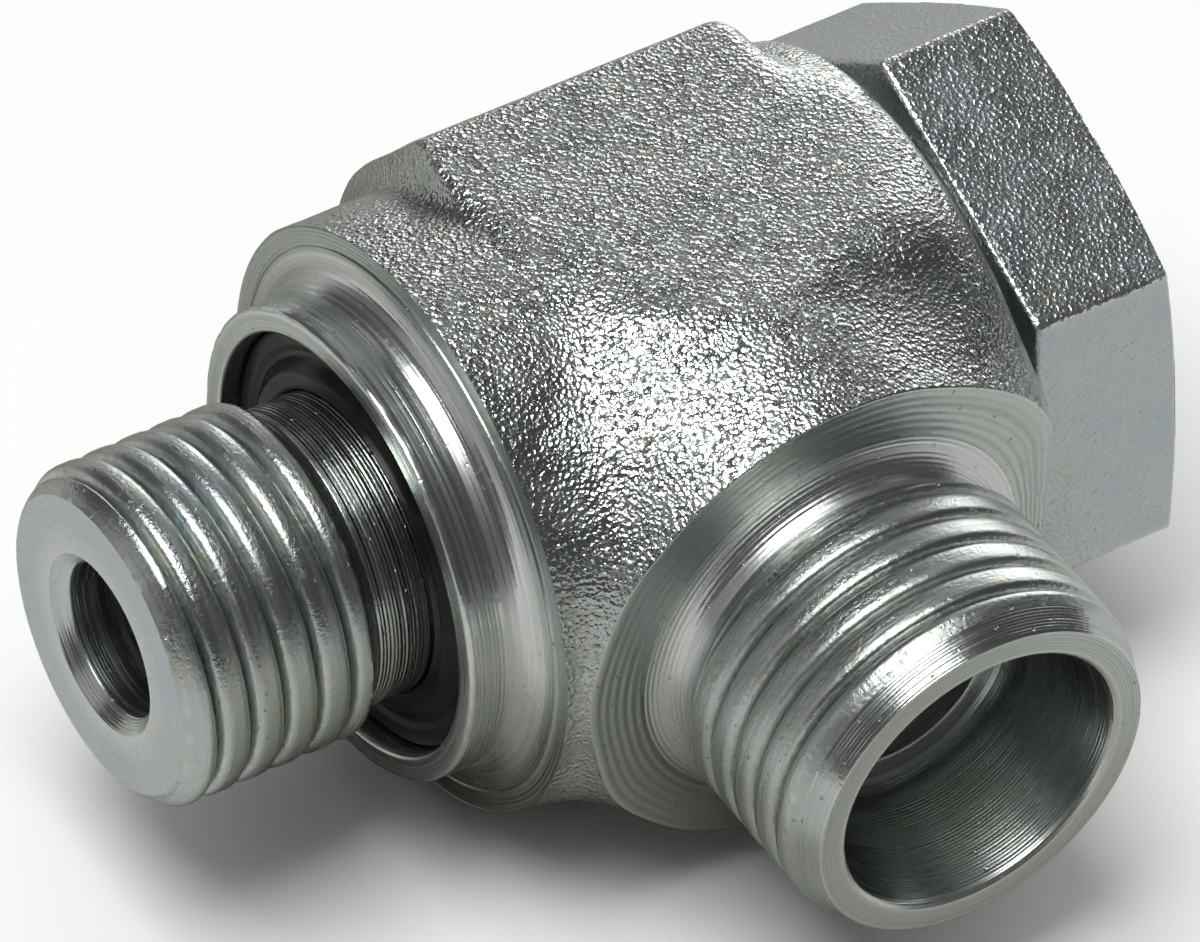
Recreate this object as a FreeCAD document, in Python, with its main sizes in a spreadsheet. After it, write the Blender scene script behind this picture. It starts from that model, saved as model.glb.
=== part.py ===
import FreeCAD
import Part

import math
import os

import Sketcher


# Swivel fitting: a drop-forged banjo body with a bare 24 degree cone tube port, turning on
# a hollow hex-headed bolt that screws into a block or a cylinder port.
#
# Frame, in millimetres: X is the bolt's axis, with the stud towards -X and the hex head
# towards +X. The tube port points along -Y. The origin is where the two axes cross, and
# Z is up, square to the flat top and bottom of the forging.


# Driving dimensions, each a cell of the sheet. Radii grow outwards from the bolt's bore and
# the tube by named walls and lands, and places grow outwards from the two crossing axes by
# named lengths, so what fits together moves together.
DRIVING = {
    # Bolt, M14 x 1.5 stud
    "stud_radius": 7.0,
    "stud_chamfer": 0.8,
    "stud_length": 10.75,
    "stud_thread_length": 8.1,
    "stud_relief": 0.8,
    "shank_step": 0.2,
    "shank_lead": 0.5,
    "shank_set_back": 0.9,
    "bore_radius": 3.2,
    "bore_chamfer": 0.6,
    "bore_past_holes": 2.9,
    "waist_wall": 2.3,
    "waist_margin": 0.7,
    "waist_slope": 1.0,
    "cross_hole_radius": 2.1,
    # Hex head, 22 mm spanner size
    "washer_land": 1.0,
    "washer_round": 0.3,
    "washer_height": 0.77,
    "hex_height": 6.4,
    "hex_land": 0.65,
    "hex_turn": 21.9,
    "hex_chamfer_land": 0.15,
    "hex_chamfer_angle": 12.0,
    # Forged body
    "block_flat_half": 7.0,
    "block_side_half": 5.5,
    "block_corner": 3.0,
    "block_step": 0.25,
    "block_undercut": 0.5,
    "stud_side_slope": 45.0,
    "head_side_slope": 60.0,
    "boss_land": 2.4,
    "boss_past_shoulder": 0.95,
    "boss_length": 4.0,
    "head_face": 9.9,
    "head_face_step": 0.6,
    "head_edge": 0.5,
    # Turned collar round the stud, with the seal's recess in it
    "collar_length": 2.85,
    "collar_wall": 1.05,
    "collar_root": 1.3,
    "stud_recess_depth": 4.45,
    # Tube port, M16 x 1.5 with a 24 degree cone for 10 mm tube
    "shoulder_step": 0.32,
    "shoulder_height": 0.57,
    "shoulder_land": 2.95,
    "shoulder_sink": 0.1,
    "port_relief": 0.7,
    "port_relief_length": 1.63,
    "port_root": 1.3,
    "port_wall": 1.85,
    "port_tip_step": 0.68,
    "port_chamfer": 1.6,
    "port_length": 10.49,
    "cone_flare": 1.1,
    "cone_edge": 0.15,
    "cone_half_angle": 12.0,
    "tube_radius": 5.0,
    "tube_clearance": 0.05,
    "tube_wall": 1.0,
    "tube_seat_length": 0.68,
    # Seals
    "stud_seal_width": 2.52,
    "lip_set_back": 0.85,
    "bead_height": 0.4,
    "bead_width": 1.1,
    "head_ring_wire": 1.92,
    "seal_clearance": 0.04,
    # Clearances
    "running_clearance": 0.05,
    "end_clearance": 0.03,
}

SHEET = "Sizes"
PARTS_FOLDER = "parts"
FULL_TURN = 360.0
BOLT_AXIS = "H_Axis"
PORT_AXIS = "V_Axis"


class Size:
    """A length held as a number and as the sheet's expression for it."""

    def __init__(self, value, text):
        self.value = value
        self.text = text

    def __neg__(self):
        return Size(-self.value, "-(" + self.text + ")")

    def __add__(self, other):
        return Size(self.value + other.value, "(" + self.text + " + " + other.text + ")")

    def __sub__(self, other):
        return Size(self.value - other.value, "(" + self.text + " - " + other.text + ")")

    def __mul__(self, factor):
        return Size(self.value * factor, "(" + self.text + " * " + repr(factor) + ")")


class Sizes:
    """The sheet's cells as attributes of one object, with the sizes that follow from them."""

    def __init__(self, table):
        for name, value in table.items():
            setattr(self, name, Size(value, SHEET + "." + name))
        self.add_bolt_radii()
        self.add_port_radii()
        self.add_body_places()
        self.add_bolt_places()

    def add_bolt_radii(self):
        """Radii about the bolt's axis, from the bore outwards to the boss."""
        self.stud_neck_radius = self.stud_radius - self.stud_relief
        self.shank_radius = self.stud_radius + self.shank_step
        self.bolt_bore_radius = self.shank_radius + self.running_clearance
        self.waist_radius = self.bore_radius + self.waist_wall
        self.stud_seal_inner = self.stud_neck_radius + self.seal_clearance
        self.stud_seal_outer = self.stud_seal_inner + self.stud_seal_width
        self.stud_recess_radius = self.stud_seal_outer + self.seal_clearance
        self.head_recess_depth = self.head_ring_wire + self.seal_clearance * 2
        self.head_recess_radius = self.shank_radius + self.head_recess_depth
        self.washer_radius = self.head_recess_radius + self.washer_land
        self.hex_across = (self.washer_radius + self.hex_land) * 2
        self.collar_radius = self.stud_recess_radius + self.collar_wall
        self.boss_radius = self.collar_radius + self.boss_land
        self.block_half_height = self.boss_radius + self.block_step

    def add_port_radii(self):
        """Radii about the tube port's axis, from the tube outwards to the shoulder."""
        self.seat_radius = self.tube_radius + self.tube_clearance
        self.port_bore_radius = self.tube_radius - self.tube_wall
        self.cone_mouth_radius = self.seat_radius + self.cone_flare
        self.port_radius = self.cone_mouth_radius + self.port_wall
        self.port_tip_radius = self.port_radius - self.port_tip_step
        self.port_neck_radius = self.port_radius - self.port_relief
        self.shoulder_radius = self.port_radius + self.shoulder_land

    def add_body_places(self):
        """Distances of the body's faces from the origin."""
        self.boss_end = self.shoulder_radius + self.boss_past_shoulder
        self.block_stud_side = self.boss_end - self.boss_length
        self.collar_end = self.boss_end + self.collar_length
        self.stud_recess_floor = self.collar_end - self.stud_recess_depth
        self.lip_front = self.collar_end - self.lip_set_back
        self.bead_front = self.lip_front + self.bead_height
        self.block_head_side = self.head_face - self.head_face_step
        self.head_recess_floor = self.head_face - self.head_recess_depth
        self.shoulder = self.block_half_height - self.block_step + self.shoulder_step
        self.block_front = self.shoulder - self.shoulder_height
        self.port_neck_end = self.shoulder + self.port_relief_length
        self.port_rim = self.shoulder + self.port_length

    def add_bolt_places(self):
        """Distances of the bolt's faces from the origin."""
        self.stud_end = self.collar_end + self.stud_length
        self.stud_thread_end = self.stud_end - self.stud_thread_length
        self.shank_start = self.stud_recess_floor - self.shank_set_back
        self.waist_half = self.port_bore_radius + self.waist_margin
        self.bore_end = self.cross_hole_radius + self.bore_past_holes
        self.seat = self.head_face + self.end_clearance
        self.head_start = self.seat + self.washer_height
        self.head_end = self.head_start + self.hex_height


def fill_sheet(doc, table):
    """Put one driving dimension in each row of the sheet."""
    sheet = doc.addObject("Spreadsheet::Sheet", SHEET)
    for row, (name, value) in enumerate(table.items(), start=1):
        sheet.set("A" + str(row), name)
        sheet.set("B" + str(row), str(value))
        sheet.setAlias("B" + str(row), name)
    return sheet


def origin_plane(body, role):
    """One of a body's own origin planes."""
    return next(item for item in body.Origin.OriginFeatures if item.Role == role)


def new_sketch(body, name, role):
    """An empty sketch lying on one of the body's origin planes."""
    sketch = body.newObject("Sketcher::SketchObject", name)
    sketch.AttachmentSupport = [(origin_plane(body, role), "")]
    sketch.MapMode = "FlatFace"
    return sketch


def bind(sketch, index, size):
    """Drive one constraint from the sheet."""
    sketch.setExpression("Constraints[" + str(index) + "]", size.text)


def pin_point(sketch, edge, x, y):
    """Hold the start of an edge at a place, where None means on that axis."""
    if x is None:
        sketch.addConstraint(Sketcher.Constraint("PointOnObject", edge, 1, -2))
    else:
        index = sketch.addConstraint(Sketcher.Constraint("DistanceX", -1, 1, edge, 1, x.value))
        bind(sketch, index, x)
    if y is None:
        sketch.addConstraint(Sketcher.Constraint("PointOnObject", edge, 1, -1))
    else:
        index = sketch.addConstraint(Sketcher.Constraint("DistanceY", -1, 1, edge, 1, y.value))
        bind(sketch, index, y)


def polygon(body, name, role, points):
    """A closed outline of straight edges with every corner driven from the sheet."""
    sketch = new_sketch(body, name, role)
    corners = [FreeCAD.Vector(x.value if x else 0, y.value if y else 0, 0) for x, y in points]
    count = len(points)
    for edge in range(count):
        sketch.addGeometry(Part.LineSegment(corners[edge], corners[(edge + 1) % count]))
    for edge in range(count):
        after = (edge + 1) % count
        sketch.addConstraint(Sketcher.Constraint("Coincident", edge, 2, after, 1))
    for edge, (x, y) in enumerate(points):
        pin_point(sketch, edge, x, y)
    return sketch


def turned(body, name, points, axis, cut=False):
    """Turn an outline about an axis of its sketch, adding or cutting."""
    sketch = polygon(body, name + "_outline", "XY_Plane", points)
    kind = "PartDesign::Groove" if cut else "PartDesign::Revolution"
    feature = body.newObject(kind, name)
    feature.Profile = sketch
    feature.ReferenceAxis = (sketch, [axis])
    feature.Angle = FULL_TURN
    return feature


def edge_names(shape, wanted):
    """The names of the edges for which a test of the edge is true."""
    return ["Edge" + str(n) for n, edge in enumerate(shape.Edges, start=1) if wanted(edge)]


def rounded(body, name, base, wanted, radius):
    """Fillet the chosen edges of a feature by a radius from the sheet."""
    body.Document.recompute()
    names = edge_names(base.Shape, wanted)
    if not names:
        raise RuntimeError(name + " found no edges")
    fillet = body.newObject("PartDesign::Fillet", name)
    fillet.Base = (base, names)
    fillet.Radius = radius.value
    fillet.setExpression("Radius", radius.text)
    return fillet


def is_circle_at(edge, axis, place, radius):
    """Whether an edge is a circle about an axis at a given place and radius."""
    curve = edge.Curve
    if not isinstance(curve, Part.Circle):
        return False
    along = curve.Center.x if axis == "X" else curve.Center.y
    return abs(along - place) < 0.01 and abs(curve.Radius - radius) < 0.01


def volume_after(feature, before, removes):
    """Check that a feature changed the solid the way it should."""
    feature.Document.recompute()
    after = feature.Shape.Volume
    if removes and not after < before - 0.01:
        raise RuntimeError(feature.Name + " cut nothing")
    if not removes and not after > before + 0.01:
        raise RuntimeError(feature.Name + " added nothing")
    return after


def make_body(doc, size):
    """The forged body with its turned collar, seal recesses and tube port."""
    body = doc.addObject("PartDesign::Body", "banjo_body")

    # Forged block, eight-sided across the bolt's axis, with wide flats on top and underneath
    outline = polygon(body, "block_outline", "YZ_Plane", [
        (size.block_flat_half, size.block_half_height),
        (-size.block_flat_half, size.block_half_height),
        (-size.block_front, size.block_side_half),
        (-size.block_front, -size.block_side_half),
        (-size.block_flat_half, -size.block_half_height),
        (size.block_flat_half, -size.block_half_height),
        (size.block_half_height, -size.block_side_half),
        (size.block_half_height, size.block_side_half),
    ])
    outline.AttachmentOffset = FreeCAD.Placement(
        FreeCAD.Vector(0, 0, -size.block_stud_side.value), FreeCAD.Rotation())
    outline.setExpression("AttachmentOffset.Base.z", (-size.block_stud_side).text)
    block = body.newObject("PartDesign::Pad", "block")
    block.Profile = outline
    block.Length = (size.block_stud_side + size.block_head_side).value
    block.setExpression("Length", (size.block_stud_side + size.block_head_side).text)
    doc.recompute()

    def along_bolt(edge):
        ends = edge.Vertexes[0].Point - edge.Vertexes[1].Point
        return abs(ends.y) < 0.01 and abs(ends.z) < 0.01

    shaped = rounded(body, "block_corners", block, along_bolt, size.block_corner)
    doc.recompute()
    volume = shaped.Shape.Volume

    # Forged slopes that run down from the block to the bosses at each end
    foot = size.boss_radius - size.block_undercut
    reach = size.block_flat_half + size.block_undercut
    for name, side, angle in (
            ("stud_side_slope", -size.block_stud_side, size.stud_side_slope),
            ("head_side_slope", size.block_head_side, size.head_side_slope)):
        run = reach * (1 / math.tan(math.radians(angle.value)))
        inward = side + run if side.value < 0 else side - run
        slope = turned(body, name, [
            (side, foot),
            (inward, foot + reach),
            (side, foot + reach),
        ], BOLT_AXIS, cut=True)
        volume = volume_after(slope, volume, True)

    # Round bosses on the bolt's axis, with the collar towards the stud
    bosses = turned(body, "bosses", [
        (-size.collar_end, None),
        (-size.collar_end, size.collar_radius),
        (-size.boss_end, size.collar_radius),
        (-size.boss_end, size.boss_radius),
        (size.head_face - size.head_edge, size.boss_radius),
        (size.head_face, size.boss_radius - size.head_edge),
        (size.head_face, None),
    ], BOLT_AXIS)
    volume = volume_after(bosses, volume, False)

    # Tube port: drafted shoulder that widens until it sinks into the block just under the flat,
    # then the neck, the thread's outer cylinder and its end chamfer
    port = turned(body, "tube_port", [
        (None, -size.block_side_half),
        (size.block_half_height - size.shoulder_sink, -size.block_side_half),
        (size.shoulder_radius, -size.shoulder),
        (size.port_neck_radius, -size.shoulder),
        (size.port_neck_radius, -size.port_neck_end),
        (size.port_radius, -(size.port_neck_end + size.port_relief)),
        (size.port_radius, -(size.port_rim - size.port_chamfer)),
        (size.port_tip_radius, -size.port_rim),
        (None, -size.port_rim),
    ], PORT_AXIS)
    volume_after(port, volume, False)

    # Turned fillets at the collar's root and the port's neck
    def collar_root(edge):
        return is_circle_at(edge, "X", -size.boss_end.value, size.collar_radius.value)

    def port_root(edge):
        return is_circle_at(edge, "Y", -size.shoulder.value, size.port_neck_radius.value)

    collar = rounded(body, "collar_fillet", port, collar_root, size.collar_root)
    neck = rounded(body, "port_fillet", collar, port_root, size.port_root)
    doc.recompute()
    volume = neck.Shape.Volume

    # Facing under the hex head, which trims the port's shoulder where it reaches past it
    facing = turned(body, "head_facing", [
        (size.head_face, None),
        (size.head_face, size.port_rim),
        (size.head_face + size.shoulder_radius, size.port_rim),
        (size.head_face + size.shoulder_radius, None),
    ], BOLT_AXIS, cut=True)
    doc.recompute()
    volume = facing.Shape.Volume

    # Bore for the bolt, with a seal recess at each end
    bore = turned(body, "bolt_bore", [
        (-size.collar_end, None),
        (-size.collar_end, size.stud_recess_radius),
        (-size.stud_recess_floor, size.stud_recess_radius),
        (-size.stud_recess_floor, size.bolt_bore_radius),
        (size.head_recess_floor, size.bolt_bore_radius),
        (size.head_recess_floor, size.head_recess_radius),
        (size.head_face, size.head_recess_radius),
        (size.head_face, None),
    ], BOLT_AXIS, cut=True)
    volume = volume_after(bore, volume, True)

    # Cone for the cutting ring, seat for the tube's end and bore to the bolt
    slope = math.tan(math.radians(size.cone_half_angle.value))
    cone_top = size.port_rim - size.cone_edge
    cone_foot = cone_top - size.cone_flare * (1 / slope)
    tube_stop = cone_foot - size.tube_seat_length
    cone = turned(body, "tube_socket", [
        (None, -size.port_rim),
        (size.cone_mouth_radius + size.cone_edge, -size.port_rim),
        (size.cone_mouth_radius, -cone_top),
        (size.seat_radius, -cone_foot),
        (size.seat_radius, -tube_stop),
        (size.port_bore_radius, -tube_stop),
        (size.port_bore_radius, None),
        (None, None),
    ], PORT_AXIS, cut=True)
    volume_after(cone, volume, True)
    return body


def make_bolt(doc, size):
    """The hollow bolt: stud, neck, bearing shank with its waist, and hex head."""
    body = doc.addObject("PartDesign::Body", "banjo_bolt")
    turning = turned(body, "shank", [
        (-size.stud_end, None),
        (-size.stud_end, size.stud_radius - size.stud_chamfer),
        (-(size.stud_end - size.stud_chamfer), size.stud_radius),
        (-size.stud_thread_end, size.stud_radius),
        (-(size.stud_thread_end - size.stud_relief), size.stud_neck_radius),
        (-size.shank_start, size.stud_neck_radius),
        (-size.shank_start, size.shank_radius - size.shank_lead),
        (-(size.shank_start - size.shank_lead), size.shank_radius),
        (-size.waist_half, size.shank_radius),
        (-(size.waist_half - size.waist_slope), size.waist_radius),
        (size.waist_half - size.waist_slope, size.waist_radius),
        (size.waist_half, size.shank_radius),
        (size.seat, size.shank_radius),
        (size.seat, size.washer_radius - size.washer_round),
        (size.seat + size.washer_round, size.washer_radius),
        (size.head_start + size.washer_round, size.washer_radius),
        (size.head_start + size.washer_round, None),
    ], BOLT_AXIS)
    doc.recompute()
    volume = turning.Shape.Volume

    # Hexagon, turned about the bolt's axis as it lies in the picture
    hexagon = new_sketch(body, "hex_outline", "YZ_Plane")
    hexagon.AttachmentOffset = FreeCAD.Placement(
        FreeCAD.Vector(0, 0, size.head_start.value), FreeCAD.Rotation())
    hexagon.setExpression("AttachmentOffset.Base.z", size.head_start.text)
    corner_radius = size.hex_across * (1 / math.sqrt(3))
    corners = []
    for side in range(6):
        angle = math.radians(size.hex_turn.value + 60 * side)
        corners.append(FreeCAD.Vector(
            corner_radius.value * math.cos(angle), corner_radius.value * math.sin(angle), 0))
    for side in range(6):
        hexagon.addGeometry(Part.LineSegment(corners[side], corners[(side + 1) % 6]))
    circle = hexagon.addGeometry(Part.Circle(
        FreeCAD.Vector(), FreeCAD.Vector(0, 0, 1), corner_radius.value), True)
    spoke = hexagon.addGeometry(Part.LineSegment(FreeCAD.Vector(), corners[0]), True)
    hexagon.addConstraint(Sketcher.Constraint("Coincident", circle, 3, -1, 1))
    hexagon.addConstraint(Sketcher.Constraint("Coincident", spoke, 1, -1, 1))
    hexagon.addConstraint(Sketcher.Constraint("Coincident", spoke, 2, 0, 1))
    for side in range(6):
        hexagon.addConstraint(Sketcher.Constraint("Coincident", side, 2, (side + 1) % 6, 1))
        hexagon.addConstraint(Sketcher.Constraint("PointOnObject", side, 1, circle))
    for side in range(1, 6):
        hexagon.addConstraint(Sketcher.Constraint("Equal", 0, side))
    index = hexagon.addConstraint(Sketcher.Constraint("Radius", circle, corner_radius.value))
    bind(hexagon, index, corner_radius)
    turn = math.radians(size.hex_turn.value)
    index = hexagon.addConstraint(Sketcher.Constraint("Angle", -1, 1, spoke, 1, turn))
    hexagon.setExpression("Constraints[" + str(index) + "]", size.hex_turn.text + " * 1 deg")
    head = body.newObject("PartDesign::Pad", "hex_head")
    head.Profile = hexagon
    head.Length = size.hex_height.value
    head.setExpression("Length", size.hex_height.text)
    volume = volume_after(head, volume, False)

    # Chamfer of the hexagon's corners at its outer end
    slope = math.tan(math.radians(size.hex_chamfer_angle.value))
    chamfer_radius = size.hex_across * 0.5 + size.hex_chamfer_land
    trim = turned(body, "hex_chamfer", [
        (size.head_end, chamfer_radius),
        (size.head_end, chamfer_radius + corner_radius),
        (size.head_end - corner_radius * slope, chamfer_radius + corner_radius),
    ], BOLT_AXIS, cut=True)
    volume = volume_after(trim, volume, True)

    # Blind bore with a drill point, open at the stud's end
    drill_point = size.bore_radius * (1 / math.tan(math.radians(59)))
    bore = turned(body, "flow_bore", [
        (-size.stud_end, None),
        (-size.stud_end, size.bore_radius + size.bore_chamfer),
        (-(size.stud_end - size.bore_chamfer), size.bore_radius),
        (size.bore_end, size.bore_radius),
        (size.bore_end + drill_point, None),
    ], BOLT_AXIS, cut=True)
    volume = volume_after(bore, volume, True)

    # Four cross holes from the bore to the waist
    circle = new_sketch(body, "cross_hole_outline", "XY_Plane")
    circle.addGeometry(Part.Circle(
        FreeCAD.Vector(), FreeCAD.Vector(0, 0, 1), size.cross_hole_radius.value))
    circle.addConstraint(Sketcher.Constraint("Coincident", 0, 3, -1, 1))
    index = circle.addConstraint(Sketcher.Constraint("Radius", 0, size.cross_hole_radius.value))
    bind(circle, index, size.cross_hole_radius)
    hole = body.newObject("PartDesign::Pocket", "cross_hole")
    hole.Profile = circle
    hole.Type = "ThroughAll"
    hole.Midplane = True
    volume = volume_after(hole, volume, True)
    crossed = body.newObject("PartDesign::PolarPattern", "cross_holes")
    crossed.Originals = [hole]
    crossed.Axis = (circle, ["H_Axis"])
    crossed.Angle = 90
    crossed.Occurrences = 2
    body.Tip = crossed
    volume_after(crossed, volume, True)
    return body


def make_stud_seal(doc, size):
    """The elastomer profile ring in the collar, with a bead round the bolt's neck."""
    body = doc.addObject("PartDesign::Body", "stud_seal")
    turned(body, "profile_ring", [
        (-(size.stud_recess_floor + size.seal_clearance), size.stud_seal_inner),
        (-size.bead_front, size.stud_seal_inner),
        (-size.bead_front, size.stud_seal_inner + size.bead_width * 0.5),
        (-size.lip_front, size.stud_seal_inner + size.bead_width),
        (-size.lip_front, size.stud_seal_outer),
        (-(size.stud_recess_floor + size.seal_clearance), size.stud_seal_outer),
    ], BOLT_AXIS)
    return body


def make_head_seal(doc, size):
    """The O-ring under the hex head, in the body's recess."""
    ring = doc.addObject("Part::Torus", "head_seal")
    middle = (size.shank_radius + size.head_recess_radius) * 0.5
    half_wire = size.head_ring_wire * 0.5
    ring.Radius1 = middle.value
    ring.Radius2 = half_wire.value
    ring.setExpression("Radius1", middle.text)
    ring.setExpression("Radius2", half_wire.text)
    place = size.head_face - size.head_recess_depth * 0.5
    ring.Placement = FreeCAD.Placement(
        FreeCAD.Vector(place.value, 0, 0), FreeCAD.Rotation(FreeCAD.Vector(0, 1, 0), 90))
    ring.setExpression("Placement.Base.x", place.text)
    return ring


def check_document(doc):
    """Stop if any object of the document failed to build."""
    doc.recompute()
    for item in doc.Objects:
        if "Invalid" in item.State or "Error" in item.State:
            raise RuntimeError(item.Name + " failed: " + ", ".join(item.State))


def write_parts(parts):
    """Write each part to its own file, named after its label."""
    os.makedirs(PARTS_FOLDER, exist_ok=True)
    for part in parts:
        shape = part.Shape
        if shape.isNull() or not shape.isValid():
            raise RuntimeError(part.Label + " is not a sound solid")
        if len(shape.Solids) != 1:
            raise RuntimeError(part.Label + " has " + str(len(shape.Solids)) + " solids")
        shape.exportStep(os.path.join(PARTS_FOLDER, part.Label + ".step"))
        print(part.Label, "volume", round(shape.Volume, 1), "mm3")


def main():
    """Build the document and write its parts."""
    doc = FreeCAD.newDocument("swivel_fitting")
    fill_sheet(doc, DRIVING)
    doc.recompute()
    size = Sizes(DRIVING)
    parts = [
        make_body(doc, size),
        make_bolt(doc, size),
        make_stud_seal(doc, size),
        make_head_seal(doc, size),
    ]
    check_document(doc)
    write_parts(parts)


main()
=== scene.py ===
import logging
import math
from dataclasses import dataclass
from enum import Enum, IntEnum
from typing import Sequence

import bmesh
import bpy
import numpy as np
from mathutils import Matrix, Vector


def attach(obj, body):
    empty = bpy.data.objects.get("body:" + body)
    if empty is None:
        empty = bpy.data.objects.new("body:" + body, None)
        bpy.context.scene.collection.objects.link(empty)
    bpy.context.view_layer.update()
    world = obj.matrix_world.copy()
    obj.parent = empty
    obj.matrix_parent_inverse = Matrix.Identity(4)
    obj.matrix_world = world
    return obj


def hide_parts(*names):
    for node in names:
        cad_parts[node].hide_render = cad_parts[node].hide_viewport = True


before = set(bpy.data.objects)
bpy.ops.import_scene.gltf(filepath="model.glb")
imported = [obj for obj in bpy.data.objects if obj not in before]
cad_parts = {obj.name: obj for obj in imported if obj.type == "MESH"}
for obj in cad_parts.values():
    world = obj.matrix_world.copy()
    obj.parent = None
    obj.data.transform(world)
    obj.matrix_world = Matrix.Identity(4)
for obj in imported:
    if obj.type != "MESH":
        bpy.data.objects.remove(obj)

# Swivel fitting: the looks of the forged body, the hollow hex-headed bolt and the seals.
# All sizes below are millimetres in the part's own frame; meshes are written in metres.
# X is the bolt's axis with the stud at -X, the tube port points along -Y, and Z is up.

LOG = logging.getLogger("swivel_fitting")
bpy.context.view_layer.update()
MM = 0.001
FULL_TURN = 2.0 * math.pi

# The step along arcs and the reach of merging are millimetres, and the crisp angle degrees.
ARC_STEP = 0.06
MERGE_REACH = 0.0008
CRISP_ANGLE = 42.0
DRILL_SIDES = 72
HALVINGS = 26

# The camera's sensor is in Blender's own millimetres, and what it sees starts and ends in metres.
SENSOR_WIDTH = 36.0
CLIP = (0.01, 10.0)

# Large primes that scatter a lattice corner's three numbers and the noise's seed.
PLACE_PRIMES = (73856093, 19349663, 83492791)
SEED_PRIME = 2654435761
MIX_PRIME = 1274126177

# Names of the map and the attribute on the meshes, and kinds of value that the code passes.
LATHE = "lathe"
WEAR = "wear"
Socket = bpy.types.NodeSocket
Colour = tuple[float, float, float]
Fed = Socket | Colour | float | None
Corner = tuple[float, ...]


# Options

class Slot(Enum):
    """The record's material slots."""

    FORGED = "forged_zinc"
    TURNED = "turned_zinc"
    ELASTOMER = "elastomer"


class Body(Enum):
    """The two bodies that the swivel joint joins."""

    BODY = "body"
    BOLT = "bolt"


class Axis(Enum):
    """The axis that a turned outline goes round."""

    BOLT = "x"
    PORT = "-y"


class BodySkin(IntEnum):
    """The order of the materials on the forging and the port."""

    FORGED = 0
    FACED = 1
    TURNED = 2
    BORED = 3
    THREADED = 4
    RIMMED = 5


class BoltSkin(IntEnum):
    """The order of the materials on the bolt."""

    TURNED = 0
    DRAWN = 1
    NECKED = 2
    BORED = 3
    THREADED = 4


# Arithmetic on whole arrays

def smooth_step(value: np.ndarray, low: float, high: float) -> np.ndarray:
    """Ease from 0 to 1.

    The formula is t*t*(3-2t), where t is the value's share of the way from low to high.

    Args:
        value: The numbers to ease.
        low: Where the result leaves 0.
        high: Where the result reaches 1.

    Returns:
        The eased numbers.
    """
    t = np.clip((value - low) / (high - low), 0.0, 1.0)
    return t * t * (3.0 - 2.0 * t)


def smooth_min(a: np.ndarray, b: np.ndarray, blend: np.ndarray | float) -> np.ndarray:
    """Join two distance fields with a fillet.

    The formula is the lesser of the two, less blend*h*(1-h), where h is how far the pair
    has gone from one to the other inside the blend's width.

    Args:
        a: The first field.
        b: The second field.
        blend: The fillet's width.

    Returns:
        The joined field.
    """
    h = np.clip(0.5 + 0.5 * (b - a) / blend, 0.0, 1.0)
    return b * (1.0 - h) + a * h - blend * h * (1.0 - h)


def smooth_max(a: np.ndarray, b: np.ndarray, blend: np.ndarray | float) -> np.ndarray:
    """Cut one distance field by another with a rounded edge, as minus smooth_min of minus."""
    return -smooth_min(-a, -b, blend)


def lattice_noise(points: np.ndarray, cell: float, seed: int) -> np.ndarray:
    """Smooth random heights in space.

    Each corner of a cubic lattice has a hashed number from -1 to 1, and a point takes the
    eased mean of the eight corners of its cell.

    Args:
        points: Places, one to a row.
        cell: The lattice's spacing.
        seed: Which of the many noises to give.

    Returns:
        One height for each place.
    """
    scaled = points / cell + 100.0
    base = np.floor(scaled).astype(np.int64)
    part = scaled - base
    part = part * part * part * (part * (part * 6.0 - 15.0) + 10.0)
    total = np.zeros(len(points))
    for corner in range(8):
        step = np.array([corner & 1, (corner >> 1) & 1, (corner >> 2) & 1])
        key = (base + step).astype(np.uint64) * np.array(PLACE_PRIMES, np.uint64)
        mixed = key[:, 0] ^ key[:, 1] ^ key[:, 2] ^ np.uint64(seed * SEED_PRIME % 2**32)
        mixed = (mixed ^ (mixed >> np.uint64(13))) * np.uint64(MIX_PRIME)
        mixed = (mixed ^ (mixed >> np.uint64(16))) & np.uint64(0xFFFFFF)
        value = mixed.astype(float) / float(0x7FFFFF) - 1.0
        weight = np.prod(np.where(step == 1, part, 1.0 - part), axis=1)
        total += value * weight
    return total


def between(pair: tuple[float, float], share: np.ndarray) -> np.ndarray:
    """Go from the first of a pair to the second by a share."""
    return pair[0] + (pair[1] - pair[0]) * share


def level(values: Sequence[float], columns: int) -> np.ndarray:
    """Carry one value for each row over all the columns of a grid."""
    return np.broadcast_to(np.asarray(values, float)[:, None], (len(values), columns))


# Outlines that are turned about an axis

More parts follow.
